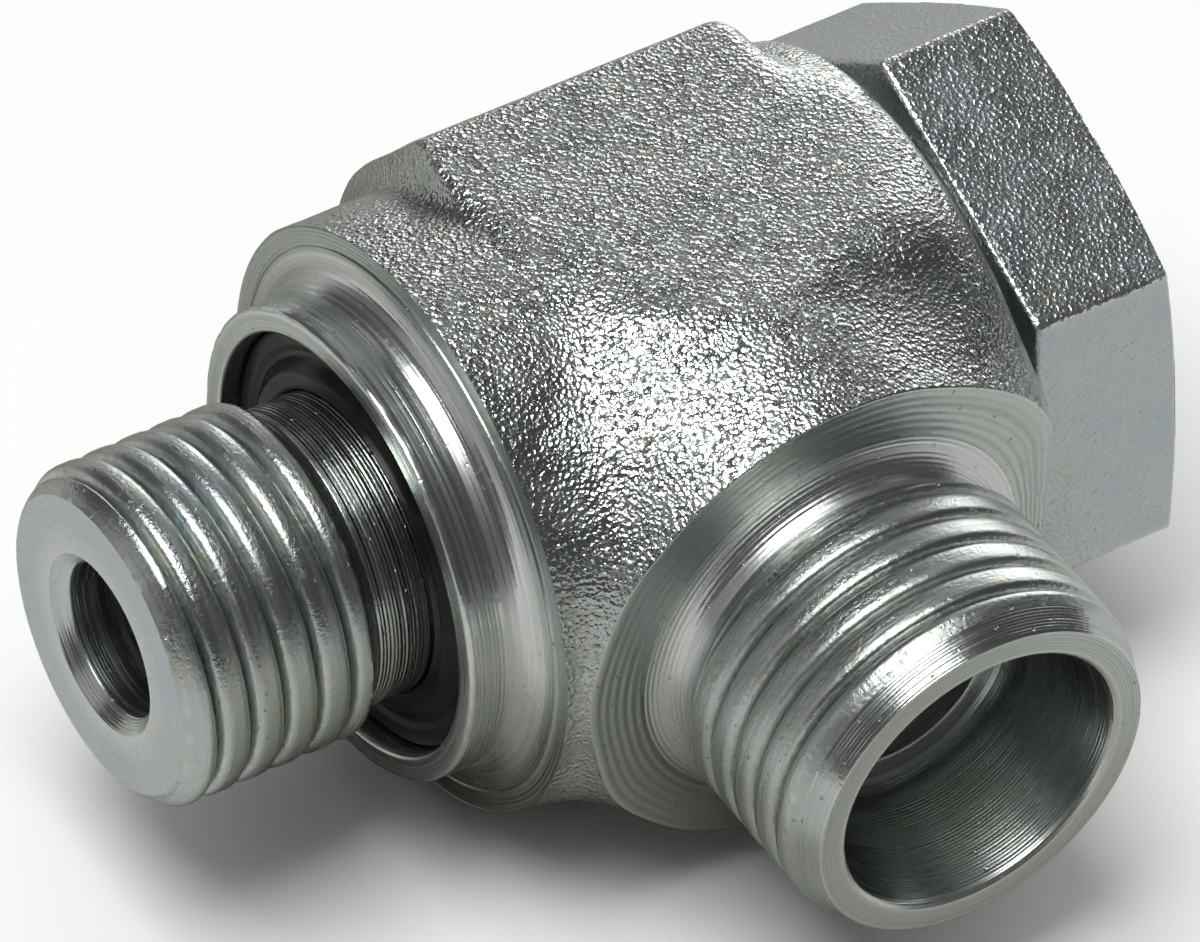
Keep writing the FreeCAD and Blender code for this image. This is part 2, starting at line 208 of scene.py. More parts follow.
@dataclass
class Outline:
    """A sampled outline with its edge wear.

    Attributes:
        along: Distances along the axis.
        radius: Distances from the axis.
        wear: 1 on a rounded outer edge and 0 elsewhere.
    """

    along: np.ndarray
    radius: np.ndarray
    wear: np.ndarray

    @classmethod
    def through(cls, corners: Sequence[Corner], step: float) -> "Outline":
        """Round the corners and sample the straights.

        A corner is its distance along the axis, its distance from the axis and, where it
        is rounded, the radius of the arc that takes its place and touches both of its
        straights. Each straight gets evenly spaced points no further apart than the step.

        Args:
            corners: The outline's corners in order.
            step: The largest spacing along a straight.

        Returns:
            The sampled outline.
        """
        runs: list[np.ndarray] = []
        wears: list[np.ndarray] = []
        places = np.array([corner[:2] for corner in corners])
        leave = places[0]
        for index, point in enumerate(places[1:], 1):
            arc = None
            arrive = point
            if len(corners[index]) > 2 and index + 1 < len(corners):
                arc = cls._arc(places[index - 1], point, places[index + 1], corners[index][2])
                arrive = arc[0]
            length = float(np.hypot(*(arrive - leave)))
            pieces = max(1, math.ceil(length / step))
            share = np.arange(pieces)[:, None] / pieces
            runs.append(leave + (arrive - leave) * share)
            wears.append(np.zeros(pieces))
            if arc is not None:
                runs.append(arc[:-1])
                wears.append(np.ones(len(arc) - 1))
                leave = arc[-1]
            else:
                leave = point
        runs.append(leave[None, :])
        wears.append(np.zeros(1))
        points = np.concatenate(runs)
        return cls(points[:, 0], points[:, 1], np.concatenate(wears))

    @staticmethod
    def _arc(before: np.ndarray, point: np.ndarray, after: np.ndarray, radius: float) -> np.ndarray:
        """The arc that touches both straights at a corner.

        Its centre is on the line that halves the corner, radius/sin(half) from the point,
        and it touches the straights radius/tan(half) from the point.

        Args:
            before: The corner before.
            point: The corner itself.
            after: The corner after.
            radius: The arc's radius.

        Returns:
            Points of the arc from the first straight to the second.
        """
        back = (before - point) / np.hypot(*(before - point))
        ahead = (after - point) / np.hypot(*(after - point))
        half = math.acos(float(np.clip(back @ ahead, -1.0, 1.0))) / 2.0
        reach = radius / math.tan(half)
        middle = (back + ahead) / np.hypot(*(back + ahead))
        centre = point + middle * radius / math.sin(half)
        start = point + back * reach - centre
        end = point + ahead * reach - centre
        first = math.atan2(start[1], start[0])
        swing = math.atan2(end[1], end[0]) - first
        swing = (swing + math.pi) % FULL_TURN - math.pi
        pieces = max(3, math.ceil(abs(swing) * radius / ARC_STEP))
        angles = first + swing * np.arange(pieces + 1) / pieces
        return centre + radius * np.stack([np.cos(angles), np.sin(angles)], axis=1)

    @classmethod
    def first_column(cls, points: np.ndarray, axis: Axis) -> "Outline":
        """The outline that the first column of a grid draws about an axis.

        Args:
            points: Places, rows by columns by 3.
            axis: The axis.

        Returns:
            The outline, without wear.
        """
        x, y, z = points[:, 0].T
        if axis is Axis.BOLT:
            return cls(x, np.hypot(y, z), 0 * x)
        return cls(-y, np.hypot(x, z), 0 * y)

    def run(self) -> np.ndarray:
        """Arc length from the first point."""
        steps = np.hypot(np.diff(self.along), np.diff(self.radius))
        return np.concatenate([[0.0], np.cumsum(steps)])

    def kept(self, choice: slice | np.ndarray) -> "Outline":
        """Only the chosen points of the outline."""
        return Outline(self.along[choice], self.radius[choice], self.wear[choice])

    def swept(self, axis: Axis, angle: np.ndarray) -> np.ndarray:
        """The outline carried to every angle about an axis, rows by columns by 3."""
        return turned_points(axis, self.along[:, None], self.radius[:, None], angle)

    def join(self, other: "Outline") -> "Outline":
        """This outline followed by another, without the point they share."""
        return Outline(
            np.concatenate([self.along[:-1], other.along]),
            np.concatenate([self.radius[:-1], other.radius]),
            np.concatenate([self.wear[:-1], other.wear]),
        )


# Grids turned into meshes

@dataclass
class Sheet:
    """A grid of points that closes round its columns and becomes a mesh.

    Attributes:
        points: Places in millimetres, shaped rows by columns by 3.
        run: Distance along the outline in millimetres, for each row or for each point.
        turn: Share of a turn at each column.
        wear: Edge wear of each point, shaped rows by columns, or one number for all.
        slots: Index of the material of each band between rows, or one for all.
        closed: Whether the last row joins the first.
        seam: The row that each row meets where the turn closes, if not itself.
    """

    points: np.ndarray
    run: np.ndarray
    turn: np.ndarray
    wear: np.ndarray | float = 0.0
    slots: np.ndarray | int = 0
    closed: bool = False
    seam: np.ndarray | None = None

    def to_object(self, name: str, materials: Sequence[bpy.types.Material]) -> bpy.types.Object:
        """Write the grid into a mesh object at the origin.

        Face (i, j) joins points (i, j), (i, j+1), (i+1, j+1) and (i+1, j), with the columns
        taken round to the first. Its map runs along the outline in one direction and round
        the axis in the other. Doubles are merged before the faces are turned outwards.

        Args:
            name: The object's name.
            materials: The materials that the slots refer to.

        Returns:
            The new object.
        """
        rows, columns = self.points.shape[:2]
        bands = rows if self.closed else rows - 1
        i, j = np.meshgrid(np.arange(bands), np.arange(columns), indexing="ij")
        below = (i + 1) % rows
        beside = (j + 1) % columns
        seam = np.arange(rows) if self.seam is None else self.seam
        row_beside = np.where(beside == 0, seam[i], i)
        row_across = np.where(beside == 0, seam[below], below)
        row = np.stack([i, row_beside, row_across, below], axis=2)
        column = np.stack([j, beside, beside, j], axis=2)
        run = np.broadcast_to(self.run.reshape(rows, -1), (rows, columns))
        carried = np.stack([0 * i, 0 * i, below == 0, below == 0], axis=2)
        u = run[row, column] + carried * (self.run.max() + 0.1)
        turn = np.append(self.turn, self.turn[0] + 1.0)
        v = turn[np.stack([j, j + 1, j + 1, j], axis=2)]
        mesh = bpy.data.meshes.new(name)
        faces = (row * columns + column).reshape(-1, 4)
        mesh.vertices.add(rows * columns)
        mesh.vertices.foreach_set("co", (self.points * MM).astype(np.float32).ravel())
        mesh.loops.add(faces.size)
        mesh.loops.foreach_set("vertex_index", faces.astype(np.int32).ravel())
        mesh.polygons.add(len(faces))
        mesh.polygons.foreach_set("loop_start", np.arange(0, faces.size, 4, dtype=np.int32))
        slots = np.repeat(np.broadcast_to(self.slots, bands), columns)
        mesh.polygons.foreach_set("material_index", slots.astype(np.int32))
        lathe = mesh.uv_layers.new(name=LATHE)
        lathe.uv.foreach_set("vector", np.stack([u, v], axis=3).astype(np.float32).ravel())
        worn = mesh.attributes.new(WEAR, "FLOAT", "POINT")
        wear = np.broadcast_to(self.wear, (rows, columns))
        worn.data.foreach_set("value", wear.astype(np.float32).ravel())
        mesh.update(calc_edges=True)
        for material in materials:
            mesh.materials.append(material)
        self._finish(mesh)
        made = bpy.data.objects.new(name, mesh)
        bpy.context.scene.collection.objects.link(made)
        return made

    @staticmethod
    def _finish(mesh: bpy.types.Mesh) -> None:
        """Merge doubles, close slits, turn faces outwards and smooth all but the crisp edges.

        Args:
            mesh: The mesh to finish.
        """
        work = bmesh.new()
        work.from_mesh(mesh)
        bmesh.ops.remove_doubles(work, verts=work.verts, dist=MERGE_REACH * MM)
        slits = [edge for edge in work.edges if edge.is_boundary]
        bmesh.ops.holes_fill(work, edges=slits, sides=0)
        bmesh.ops.recalc_face_normals(work, faces=work.faces)
        work.to_mesh(mesh)
        work.free()
        mesh.polygons.foreach_set("use_smooth", np.ones(len(mesh.polygons), dtype=bool))
        mesh.set_sharp_from_angle(angle=math.radians(CRISP_ANGLE))
        mesh.update()


def turned_points(
    axis: Axis, along: np.ndarray, radius: np.ndarray | float, angle: np.ndarray,
) -> np.ndarray:
    """Places on a turned grid.

    Round the bolt a point is (along, radius*cos, radius*sin). Round the port it is
    (radius*cos, -along, radius*sin).

    Args:
        axis: The axis it goes round.
        along: Distances along the axis, rows by columns or by 1.
        radius: Distances from the axis, the same, or one for all.
        angle: The angle of each column.

    Returns:
        Places, rows by columns by 3.
    """
    along, radius, angle = np.broadcast_arrays(along, radius, angle)
    across = radius * np.cos(angle)
    up = radius * np.sin(angle)
    if axis is Axis.BOLT:
        return np.stack([along, across, up], axis=2)
    return np.stack([across, -along, up], axis=2)


def cut_away(piece: bpy.types.Object, cutters: Sequence[bpy.types.Object]) -> None:
    """Cut plain drilled holes out of a piece and throw the cutters away.

    Args:
        piece: The piece to drill.
        cutters: Closed solids that stand where the drill went.
    """
    for cutter in cutters:
        drill = piece.modifiers.new("drill", "BOOLEAN")
        drill.operation = "DIFFERENCE"
        drill.solver = "MANIFOLD"
        drill.object = cutter
    graph = bpy.context.evaluated_depsgraph_get()
    drilled = piece.evaluated_get(graph)
    cut = bpy.data.meshes.new_from_object(drilled, preserve_all_data_layers=True, depsgraph=graph)
    piece.modifiers.clear()
    old = piece.data
    cut.name = old.name
    piece.data = cut
    bpy.data.meshes.remove(old)
    for cutter in cutters:
        bpy.data.objects.remove(cutter)


@dataclass
class Drill:
    """A plain drilled hole.

    Attributes:
        axis: The axis it goes along.
        start: Where it starts along the axis.
        end: Where it ends along the axis.
        radius: The hole's radius.
        tilt: Turn of the hole about the bolt's axis, in degrees.
    """

    axis: Axis
    start: float
    end: float
    radius: float
    tilt: float = 0.0

    def cutter(self, name: str) -> bpy.types.Object:
        """A closed cylinder whose rows run from one end's middle to the other's.

        Args:
            name: The cutter's name while it is there.

        Returns:
            The cutter.
        """
        along = np.array([self.start, self.start, self.end, self.end])
        radius = np.array([0.0, self.radius, self.radius, 0.0])
        turn = np.arange(DRILL_SIDES) / DRILL_SIDES
        points = Outline(along, radius, 0 * along).swept(self.axis, turn * FULL_TURN)
        spin = np.array(Matrix.Rotation(math.radians(self.tilt), 3, "X"))
        return Sheet(points @ spin.T, np.arange(4.0), turn).to_object(name, [])


# Helical threads

@dataclass
class Thread:
    """A right-hand thread with rounded crests and roots.

    Attributes:
        pitch: Distance from crest to crest.
        depth: Height of the crests above the roots.
        roundness: Power that rounds the crests; a higher one leaves narrower roots.
        start: Where the ridge starts, along the axis.
        end: Where the ridge ends, along the axis.
        fade: Length over which the ridge runs out at each end.
        shift: Share of a pitch that the ridge is moved by.
        hand: 1 where the angle grows with the right-hand turn about the axis.
        burr: Height of the ragged burrs at the crests' edges.
        burr_share: The crest share at which the burrs stand.
        burr_width: How far the crest share is from that when they have run out.
        cuts: Where rows lie between a crest, 0, and the next root, 1.
    """

    pitch: float
    depth: float
    roundness: float
    start: float
    end: float
    fade: float
    shift: float
    hand: float
    burr: float = 0.012
    burr_share: float = 0.62
    burr_width: float = 0.16
    cuts: tuple[float, ...] = (0.0, 0.28, 0.5, 0.66, 0.77, 0.85, 0.91, 0.96, 1.0)

    def phases(self, first: float, last: float) -> np.ndarray:
        """The phases of rows that follow the ridge and cover a stretch at every turn.

        Args:
            first: Where the stretch starts.
            last: Where it ends.

        Returns:
            One phase for each row, in the stretch's order.
        """
        half = np.array(self.cuts) / 2.0
        within = np.concatenate([half, 1.0 - half[-2:0:-1]])
        low = min(first, last) / self.pitch + self.shift + min(0.0, -self.hand)
        high = max(first, last) / self.pitch + self.shift + max(0.0, -self.hand)
        found = (np.arange(math.floor(low) - 1, math.ceil(high) + 1)[:, None] + within).ravel()
        start = np.searchsorted(found, low) - 1
        end = np.searchsorted(found, high) + 1
        return found[start:end] if first < last else found[start:end][::-1]

    def cut(self, along: np.ndarray, angle: np.ndarray) -> tuple[np.ndarray, np.ndarray]:
        """Depth of the groove, run out at both ends.

        The phase is along/pitch less the share of a turn. The crest share is 1 less a power
        of the distance from the crest's middle, as a part of the half pitch. The depth is
        the thread's depth times 1 less that share, and both fade to 0 over the run-outs.

        Args:
            along: Distances along the axis, rows by columns.
            angle: The angle of each column, as a row.

        Returns:
            The depth below the crests and the crest share, each rows by columns.
        """
        phase = along / self.pitch - self.hand * angle / FULL_TURN + self.shift
        share = 1.0 - (np.abs(phase - np.round(phase)) * 2.0) ** self.roundness
        inside = smooth_step(along, self.start, self.start + self.fade)
        inside = inside * (1.0 - smooth_step(along, self.end - self.fade, self.end))
        return self.depth * (1.0 - share) * inside, share * inside

    def turned_back(self, count: int) -> np.ndarray:
        """The row, one pitch before, that each of the rows meets where the turn closes."""
        return np.maximum(np.arange(count) - 2 * (len(self.cuts) - 1), 0)


@dataclass
class TurnedRows:
    """Rows of a turned piece before they are carried round their axis.

    Attributes:
        along: Distances along the axis, rows by columns.
        radius: Distances from the axis, rows by columns.
        wear: Edge wear, rows by columns.
        run: Distances along the outline, rows by columns.
        seam: The row that each row meets where the turn closes.
    """

    along: np.ndarray
    radius: np.ndarray
    wear: np.ndarray
    run: np.ndarray
    seam: np.ndarray

    @classmethod
    def plain(cls, outline: Outline, turn: np.ndarray, worn: float = 1.0) -> "TurnedRows":
        """Level rows, one for each point of the outline.

        Args:
            outline: The outline.
            turn: Share of a turn at each column.
            worn: Share of the outline's wear that the rows get.

        Returns:
            The rows.
        """
        parts = (outline.along, outline.radius, worn * outline.wear, outline.run())
        shape = (len(outline.along), len(turn))
        wide = [np.broadcast_to(part[:, None], shape) for part in parts]
        return cls(*wide, np.arange(len(outline.along)))

    @classmethod
    def threaded(cls, outline: Outline, thread: Thread, turn: np.ndarray, axis: Axis) -> "TurnedRows":
        """Rows that follow a thread's ridge along an outline.

        A row of phase p is at (p + hand*turn - shift)*pitch, held inside the outline's
        ends, and after a whole turn it meets the row one pitch before it. Its radius is the
        outline's less the thread's depth, plus ragged burrs at the crests' edges.

        Args:
            outline: The outline, which goes one way along the axis.
            thread: The thread that is cut into it.
            turn: Share of a turn at each column.
            axis: The axis it goes round.

        Returns:
            The rows.
        """
        first, last = float(outline.along[0]), float(outline.along[-1])
        phases = thread.phases(first, last)
        along = (phases[:, None] + thread.hand * turn[None, :] - thread.shift) * thread.pitch
        along = np.clip(along, min(first, last), max(first, last))
        order = np.argsort(outline.along)
        base = np.interp(along, outline.along[order], outline.radius[order])
        angle = turn * FULL_TURN
        cut, share = thread.cut(along, angle[None, :])
        floor = np.minimum(outline.radius.max() - thread.depth, base)
        radius = np.maximum(base - cut, floor)
        places = turned_points(axis, along, radius, angle).reshape(-1, 3)
        ragged = lattice_noise(places, 0.35, 97).reshape(radius.shape)
        edge = np.exp(-((share - thread.burr_share) / thread.burr_width) ** 2)
        radius = radius + edge * thread.burr * (1.0 + 1.6 * ragged)
        wear = np.clip(edge * (0.5 + 0.9 * ragged), 0.0, 1.0)
        return cls(along, radius, wear, np.abs(along - first), thread.turned_back(len(phases)))

    def join(self, other: "TurnedRows") -> "TurnedRows":
        """These rows followed by others, with the runs carried on.

        Args:
            other: The rows that follow.

        Returns:
            All the rows.
        """
        carried = other.run - other.run[0, 0] + self.run[-1, 0]
        pairs = (
            (self.along, other.along), (self.radius, other.radius), (self.wear, other.wear),
            (self.run, carried), (self.seam, other.seam + len(self.seam)))
        return TurnedRows(*(np.concatenate(pair) for pair in pairs))


# Shader node helpers

class Shade:
    """A small builder for one node tree."""

    def __init__(self, tree: bpy.types.NodeTree) -> None:
        """Take the tree to build in."""
        self.tree = tree

    def node(self, kind: str, **values: object) -> bpy.types.Node:
        """Add a node.

        Args:
            kind: The node's type name.
            values: Properties by name, and inputs by name with spaces as underscores.

        Returns:
            The new node.
        """
        made = self.tree.nodes.new(kind)
        for name, value in values.items():
            label = name.replace("_", " ")
            if label in made.inputs:
                self.feed(value, made.inputs[label])
            else:
                setattr(made, name, value)
        return made

    def feed(self, value: Fed, target: Socket) -> None:
        """Give an input what it reads.

        Args:
            value: A socket to link, a colour or a number to set, or None to leave it.
            target: The input.
        """
        if isinstance(value, Socket):
            self.tree.links.new(value, target)
        elif isinstance(value, tuple):
            target.default_value = (*value, 1.0)
        elif value is not None:
            target.default_value = value

    def math(self, operation: str, first: Fed, second: Fed = None, clamp: bool = False) -> Socket:
        """Add a Math node on sockets or numbers.

        Args:
            operation: The Math node's operation.
            first: A socket or a number.
            second: A socket or a number.
            clamp: Whether to hold the result between 0 and 1.

        Returns:
            The result's socket.
        """
        made = self.node("ShaderNodeMath", operation=operation, use_clamp=clamp)
        self.feed(first, made.inputs[0])
        self.feed(second, made.inputs[1])
        return made.outputs[0]

    def plus(self, first: Fed, second: Fed) -> Socket:
        """The sum of two sockets or numbers."""
        return self.math("ADD", first, second)

    def times(self, first: Fed, second: Fed) -> Socket:
        """The product of two sockets or numbers."""
        return self.math("MULTIPLY", first, second)

    def span(
        self, value: Socket, low: float, high: float, to_low: float = 0.0, to_high: float = 1.0,
    ) -> Socket:
        """Add a Map Range node, eased at both ends.

        Args:
            value: The socket to map.
            low: The input that gives to_low.
            high: The input that gives to_high.
            to_low: The result at the low input.
            to_high: The result at the high input.

        Returns:
            The result's socket.
        """
        made = self.node(
            "ShaderNodeMapRange", interpolation_type="SMOOTHSTEP", Value=value, From_Min=low, From_Max=high,
            To_Min=to_low, To_Max=to_high)
        return made.outputs["Result"]

    def mix(self, share: Fed, first: Fed, second: Fed) -> Socket:
        """Add a colour Mix node.

        Args:
            share: A socket or number from 0 to 1.
            first: A socket or colour.
            second: A socket or colour.

        Returns:
            The result's socket.
        """
        made = self.node("ShaderNodeMix", data_type="RGBA")
        for value, name in ((share, "Factor_Float"), (first, "A_Color"), (second, "B_Color")):
            self.feed(value, next(socket for socket in made.inputs if socket.identifier == name))
        return made.outputs[2]

    def over(self, base: Fed, mask: Socket, strength: float, colour: Colour) -> Socket:
        """Lay a colour over a base by a mask times a strength."""
        return self.mix(self.times(mask, strength), base, colour)

    def noise(self, vector: Socket, scale: Fed, detail: float, rough: float = 0.5) -> Socket:
        """Add a Noise Texture node and give its value."""
        made = self.node("ShaderNodeTexNoise", Vector=vector, Scale=scale, Detail=detail, Roughness=rough)
        return made.outputs["Fac"]

    def cells(self, vector: Socket, scale: Fed) -> Socket:
        """Add a Voronoi Texture node and give the distance from its cells' middles."""
        made = self.node("ShaderNodeTexVoronoi", Vector=vector, Scale=scale, Randomness=1.0)
        return made.outputs["Distance"]


class Effect(Shade):
    """A shader node group that reads a vector and has named inputs and outputs."""

    def __init__(self, name: str, inputs: dict[str, float], outputs: dict[str, str]) -> None:
        """Make the group with nothing in it.

        Args:
            name: The group's name.
            inputs: Each further input's default number.
            outputs: Each output's kind, "Float" or "Color".
        """
        super().__init__(bpy.data.node_groups.new(name, "ShaderNodeTree"))
        sockets = self.tree.interface
        sockets.new_socket("Vector", in_out="INPUT", socket_type="NodeSocketVector")
        for label, value in inputs.items():
            made = sockets.new_socket(label, in_out="INPUT", socket_type="NodeSocketFloat")
            made.default_value = value
        for label, kind in outputs.items():
            sockets.new_socket(label, in_out="OUTPUT", socket_type="NodeSocket" + kind)
        self.given = self.node("NodeGroupInput").outputs
        self.out = self.node("NodeGroupOutput")

    def give(self, **outputs: Socket) -> bpy.types.NodeTree:
        """Link the results to the group's outputs.

        Args:
            outputs: The results by the outputs' names.

        Returns:
            The finished group.
        """
        for label, result in outputs.items():
            self.feed(result, self.out.inputs[label])
        return self.tree


class SharedEffects:
    """Shader node groups that more than one finish uses, each built once."""

    def __init__(self) -> None:
        """Build every group."""
        self.tint = self._tint()
        self.lines = self._lines()
        self.grain = self._grain()
        self.specks = self._specks()

    @staticmethod
    def _tint() -> bpy.types.NodeTree:
        """Patches of bluish, plain and straw-coloured passivated zinc.

        Returns:
            The group.
        """
        shade = Effect("zinc_tint", {"Scale": 300.0, "Strength": 1.0}, {"Colour": "Color"})
        place, scale, strength = (shade.given[label] for label in ("Vector", "Scale", "Strength"))
        patch = shade.span(shade.noise(place, scale, 3.0), 0.5, 0.72)
        finer = shade.span(shade.noise(place, shade.times(scale, 3.7), 2.0), 0.55, 0.75)
        blue = shade.math("MULTIPLY", patch, strength, clamp=True)
        straw = shade.math("MULTIPLY", finer, strength, clamp=True)
        bluish = shade.mix(blue, (0.54, 0.57, 0.55), (0.49, 0.545, 0.56))
        return shade.give(Colour=shade.mix(straw, bluish, (0.55, 0.565, 0.475)))

    @staticmethod
    def _lines() -> bpy.types.NodeTree:
        """Fine cutting lines that follow the tool's feed, from the outline's own map.

        The line's number is the distance along the outline over the feed, plus the share
        of a turn. The height is the sine of that number, less even as Uneven grows, when a
        noise on a coil of radius Arc takes over.

        Returns:
            The group.
        """
        shade = Effect(
            "turning_lines", {"Feed": 0.2, "Uneven": 0.5, "Arc": 0.5}, {"Height": "Float", "Streak": "Float"})
        feed, uneven, arc = (shade.given[label] for label in ("Feed", "Uneven", "Arc"))
        along, share, _ = shade.node("ShaderNodeSeparateXYZ", Vector=shade.given["Vector"]).outputs
        turn = shade.times(share, FULL_TURN)
        count = shade.plus(shade.math("DIVIDE", along, feed), share)
        wave = shade.math("SINE", shade.times(count, FULL_TURN))
        across = shade.times(shade.math("COSINE", turn), arc)
        up = shade.times(shade.math("SINE", turn), arc)
        coil = shade.node("ShaderNodeCombineXYZ", X=count, Y=across, Z=up).outputs[0]
        ragged = shade.noise(coil, 1.1, 2.0, 0.6)
        band = shade.noise(coil, 0.31, 3.0, 0.7)
        even = shade.times(wave, shade.math("SUBTRACT", 1.0, uneven))
        rough = shade.times(shade.math("SUBTRACT", ragged, 0.5), shade.times(uneven, 6.0))
        both = shade.plus(shade.times(ragged, 0.5), shade.times(band, 0.5))
        return shade.give(Height=shade.plus(even, rough), Streak=shade.span(both, 0.4, 0.62))

    @staticmethod
    def _grain() -> bpy.types.NodeTree:
        """The shot-blasted forging's packed bowls, each a distance squared, and finer pits, with a mask for
        painted shade in those pits.

        Returns:
            The group.
        """
        shade = Effect("forged_grain", {"Size": 4000.0}, {"Height": "Float", "Pit": "Float"})
        place, size = (shade.given[label] for label in ("Vector", "Size"))
        away = shade.cells(place, size)
        bowl = shade.times(away, shade.times(away, 0.7))
        fine = shade.noise(place, shade.times(size, 1.6), 0.6)
        broad = shade.noise(place, shade.times(size, 0.38), 2.0)
        height = shade.plus(shade.plus(bowl, shade.times(fine, 0.62)), shade.times(broad, 0.5))
        return shade.give(Height=height, Pit=shade.span(fine, 0.36, 0.5, 1.0, 0.0))

    @staticmethod
    def _specks() -> bpy.types.NodeTree:
        """Scattered dark stains and small nicks from handling.

        Returns:
            The group.
        """
        shade = Effect("handling_specks", {"Size": 900.0}, {"Stain": "Float", "Nick": "Float"})
        place, size = (shade.given[label] for label in ("Vector", "Size"))
        stain = shade.noise(place, size, 4.0, 0.7)
        nick = shade.cells(place, shade.times(size, 1.1))
        return shade.give(Stain=shade.span(stain, 0.6, 0.74), Nick=shade.span(nick, 0.07, 0.13, 1.0, 0.0))


class Coat(Shade):
    """A material with a Principled shader, and what its finish is drawn from."""

    def __init__(self, name: str, slot: Slot | None = None) -> None:
        """Make the material with only its shader and its output.

        Args:
            name: The material's name.
            slot: The record's slot it belongs to, or None for what isn't on the part.
        """
        self.material = bpy.data.materials.new(name)
        self.material.use_nodes = True
        if slot is not None:
            self.material["slot"] = slot.value
        super().__init__(self.material.node_tree)
        self.tree.nodes.clear()
        self.surface = self.node("ShaderNodeBsdfPrincipled")
        self.node("ShaderNodeOutputMaterial", Surface=self.surface.outputs[0])
        self.place = self.node("ShaderNodeTexCoord").outputs["Object"]

    def lathe(self) -> Socket:
        """The piece's own map, along its outline and round its axis."""
        return self.node("ShaderNodeUVMap", uv_map=LATHE).outputs[0]

    def worn(self) -> Socket:
        """The piece's edge wear."""
        return self.node("ShaderNodeAttribute", attribute_name=WEAR).outputs["Fac"]

    def effect(self, group: bpy.types.NodeTree, vector: Socket, **values: float) -> dict[str, Socket]:
        """Place a shared group with its own values and give its outputs by name."""
        made = self.node("ShaderNodeGroup", node_tree=group, Vector=vector, **values)
        return {socket.name: socket for socket in made.outputs}

    def shine(self, **inputs: Fed) -> None:
        """Feed the shader's inputs, named with spaces as underscores."""
        for name, value in inputs.items():
            self.feed(value, self.surface.inputs[name.replace("_", " ")])

    def emboss(self, height: Socket, depth: float) -> None:
        """Raise the surface in the light by a height from 0 to 1 and a depth in metres."""
        bump = self.node("ShaderNodeBump", Strength=1.0, Distance=depth, Height=height)
        self.feed(bump.outputs[0], self.surface.inputs["Normal"])


# Finishes

@dataclass(frozen=True)
class Finish:
    """What every finish of the fitting has.

    Attributes:
        name: The material's name.
        depth: Depth of the relief in metres.
        roughness: Lowest and highest roughness.
        stain_colour: Colour of the stains.
    """

    name: str
    depth: float
    roughness: tuple[float, float]
    stain_colour: Colour


@dataclass(frozen=True)
class ForgedZinc(Finish):
    """Zinc plating over a shot-blasted drop forging.

    Attributes:
        dimple: Dimples to a metre.
        pit_shade_colour: Painted shade in the dimples.
        worn_colour: Colour of the worn edges.
    """

    name: str = "forged_zinc"
    dimple: float = 4900.0
    depth: float = 0.000064
    roughness: tuple[float, float] = (0.20, 0.32)
    pit_shade_colour: Colour = (0.40, 0.39, 0.36)
    stain_colour: Colour = (0.46, 0.44, 0.38)
    worn_colour: Colour = (0.8, 0.8, 0.79)

    def build(self, effects: SharedEffects) -> bpy.types.Material:
        """Make the material.

        Args:
            effects: The shared groups.

        Returns:
            The material.
        """
        coat = Coat(self.name, Slot.FORGED)
        tint = coat.effect(effects.tint, coat.place, Scale=420.0, Strength=0.7)
        grain = coat.effect(effects.grain, coat.place, Size=self.dimple)
        specks = coat.effect(effects.specks, coat.place, Size=500.0)
        # Painted shade: the forging's finer pits are darkened.
        pit_shaded = coat.over(tint["Colour"], grain["Pit"], 0.45, self.pit_shade_colour)
        stained = coat.over(pit_shaded, specks["Stain"], 0.3, self.stain_colour)
        patch = coat.noise(coat.place, 900.0, 3.0)
        coat.shine(
            Base_Color=coat.over(stained, coat.worn(), 0.5, self.worn_colour), Metallic=1.0,
            Roughness=coat.span(patch, 0.3, 0.7, *self.roughness))
        coat.emboss(grain["Height"], self.depth)
        return coat.material


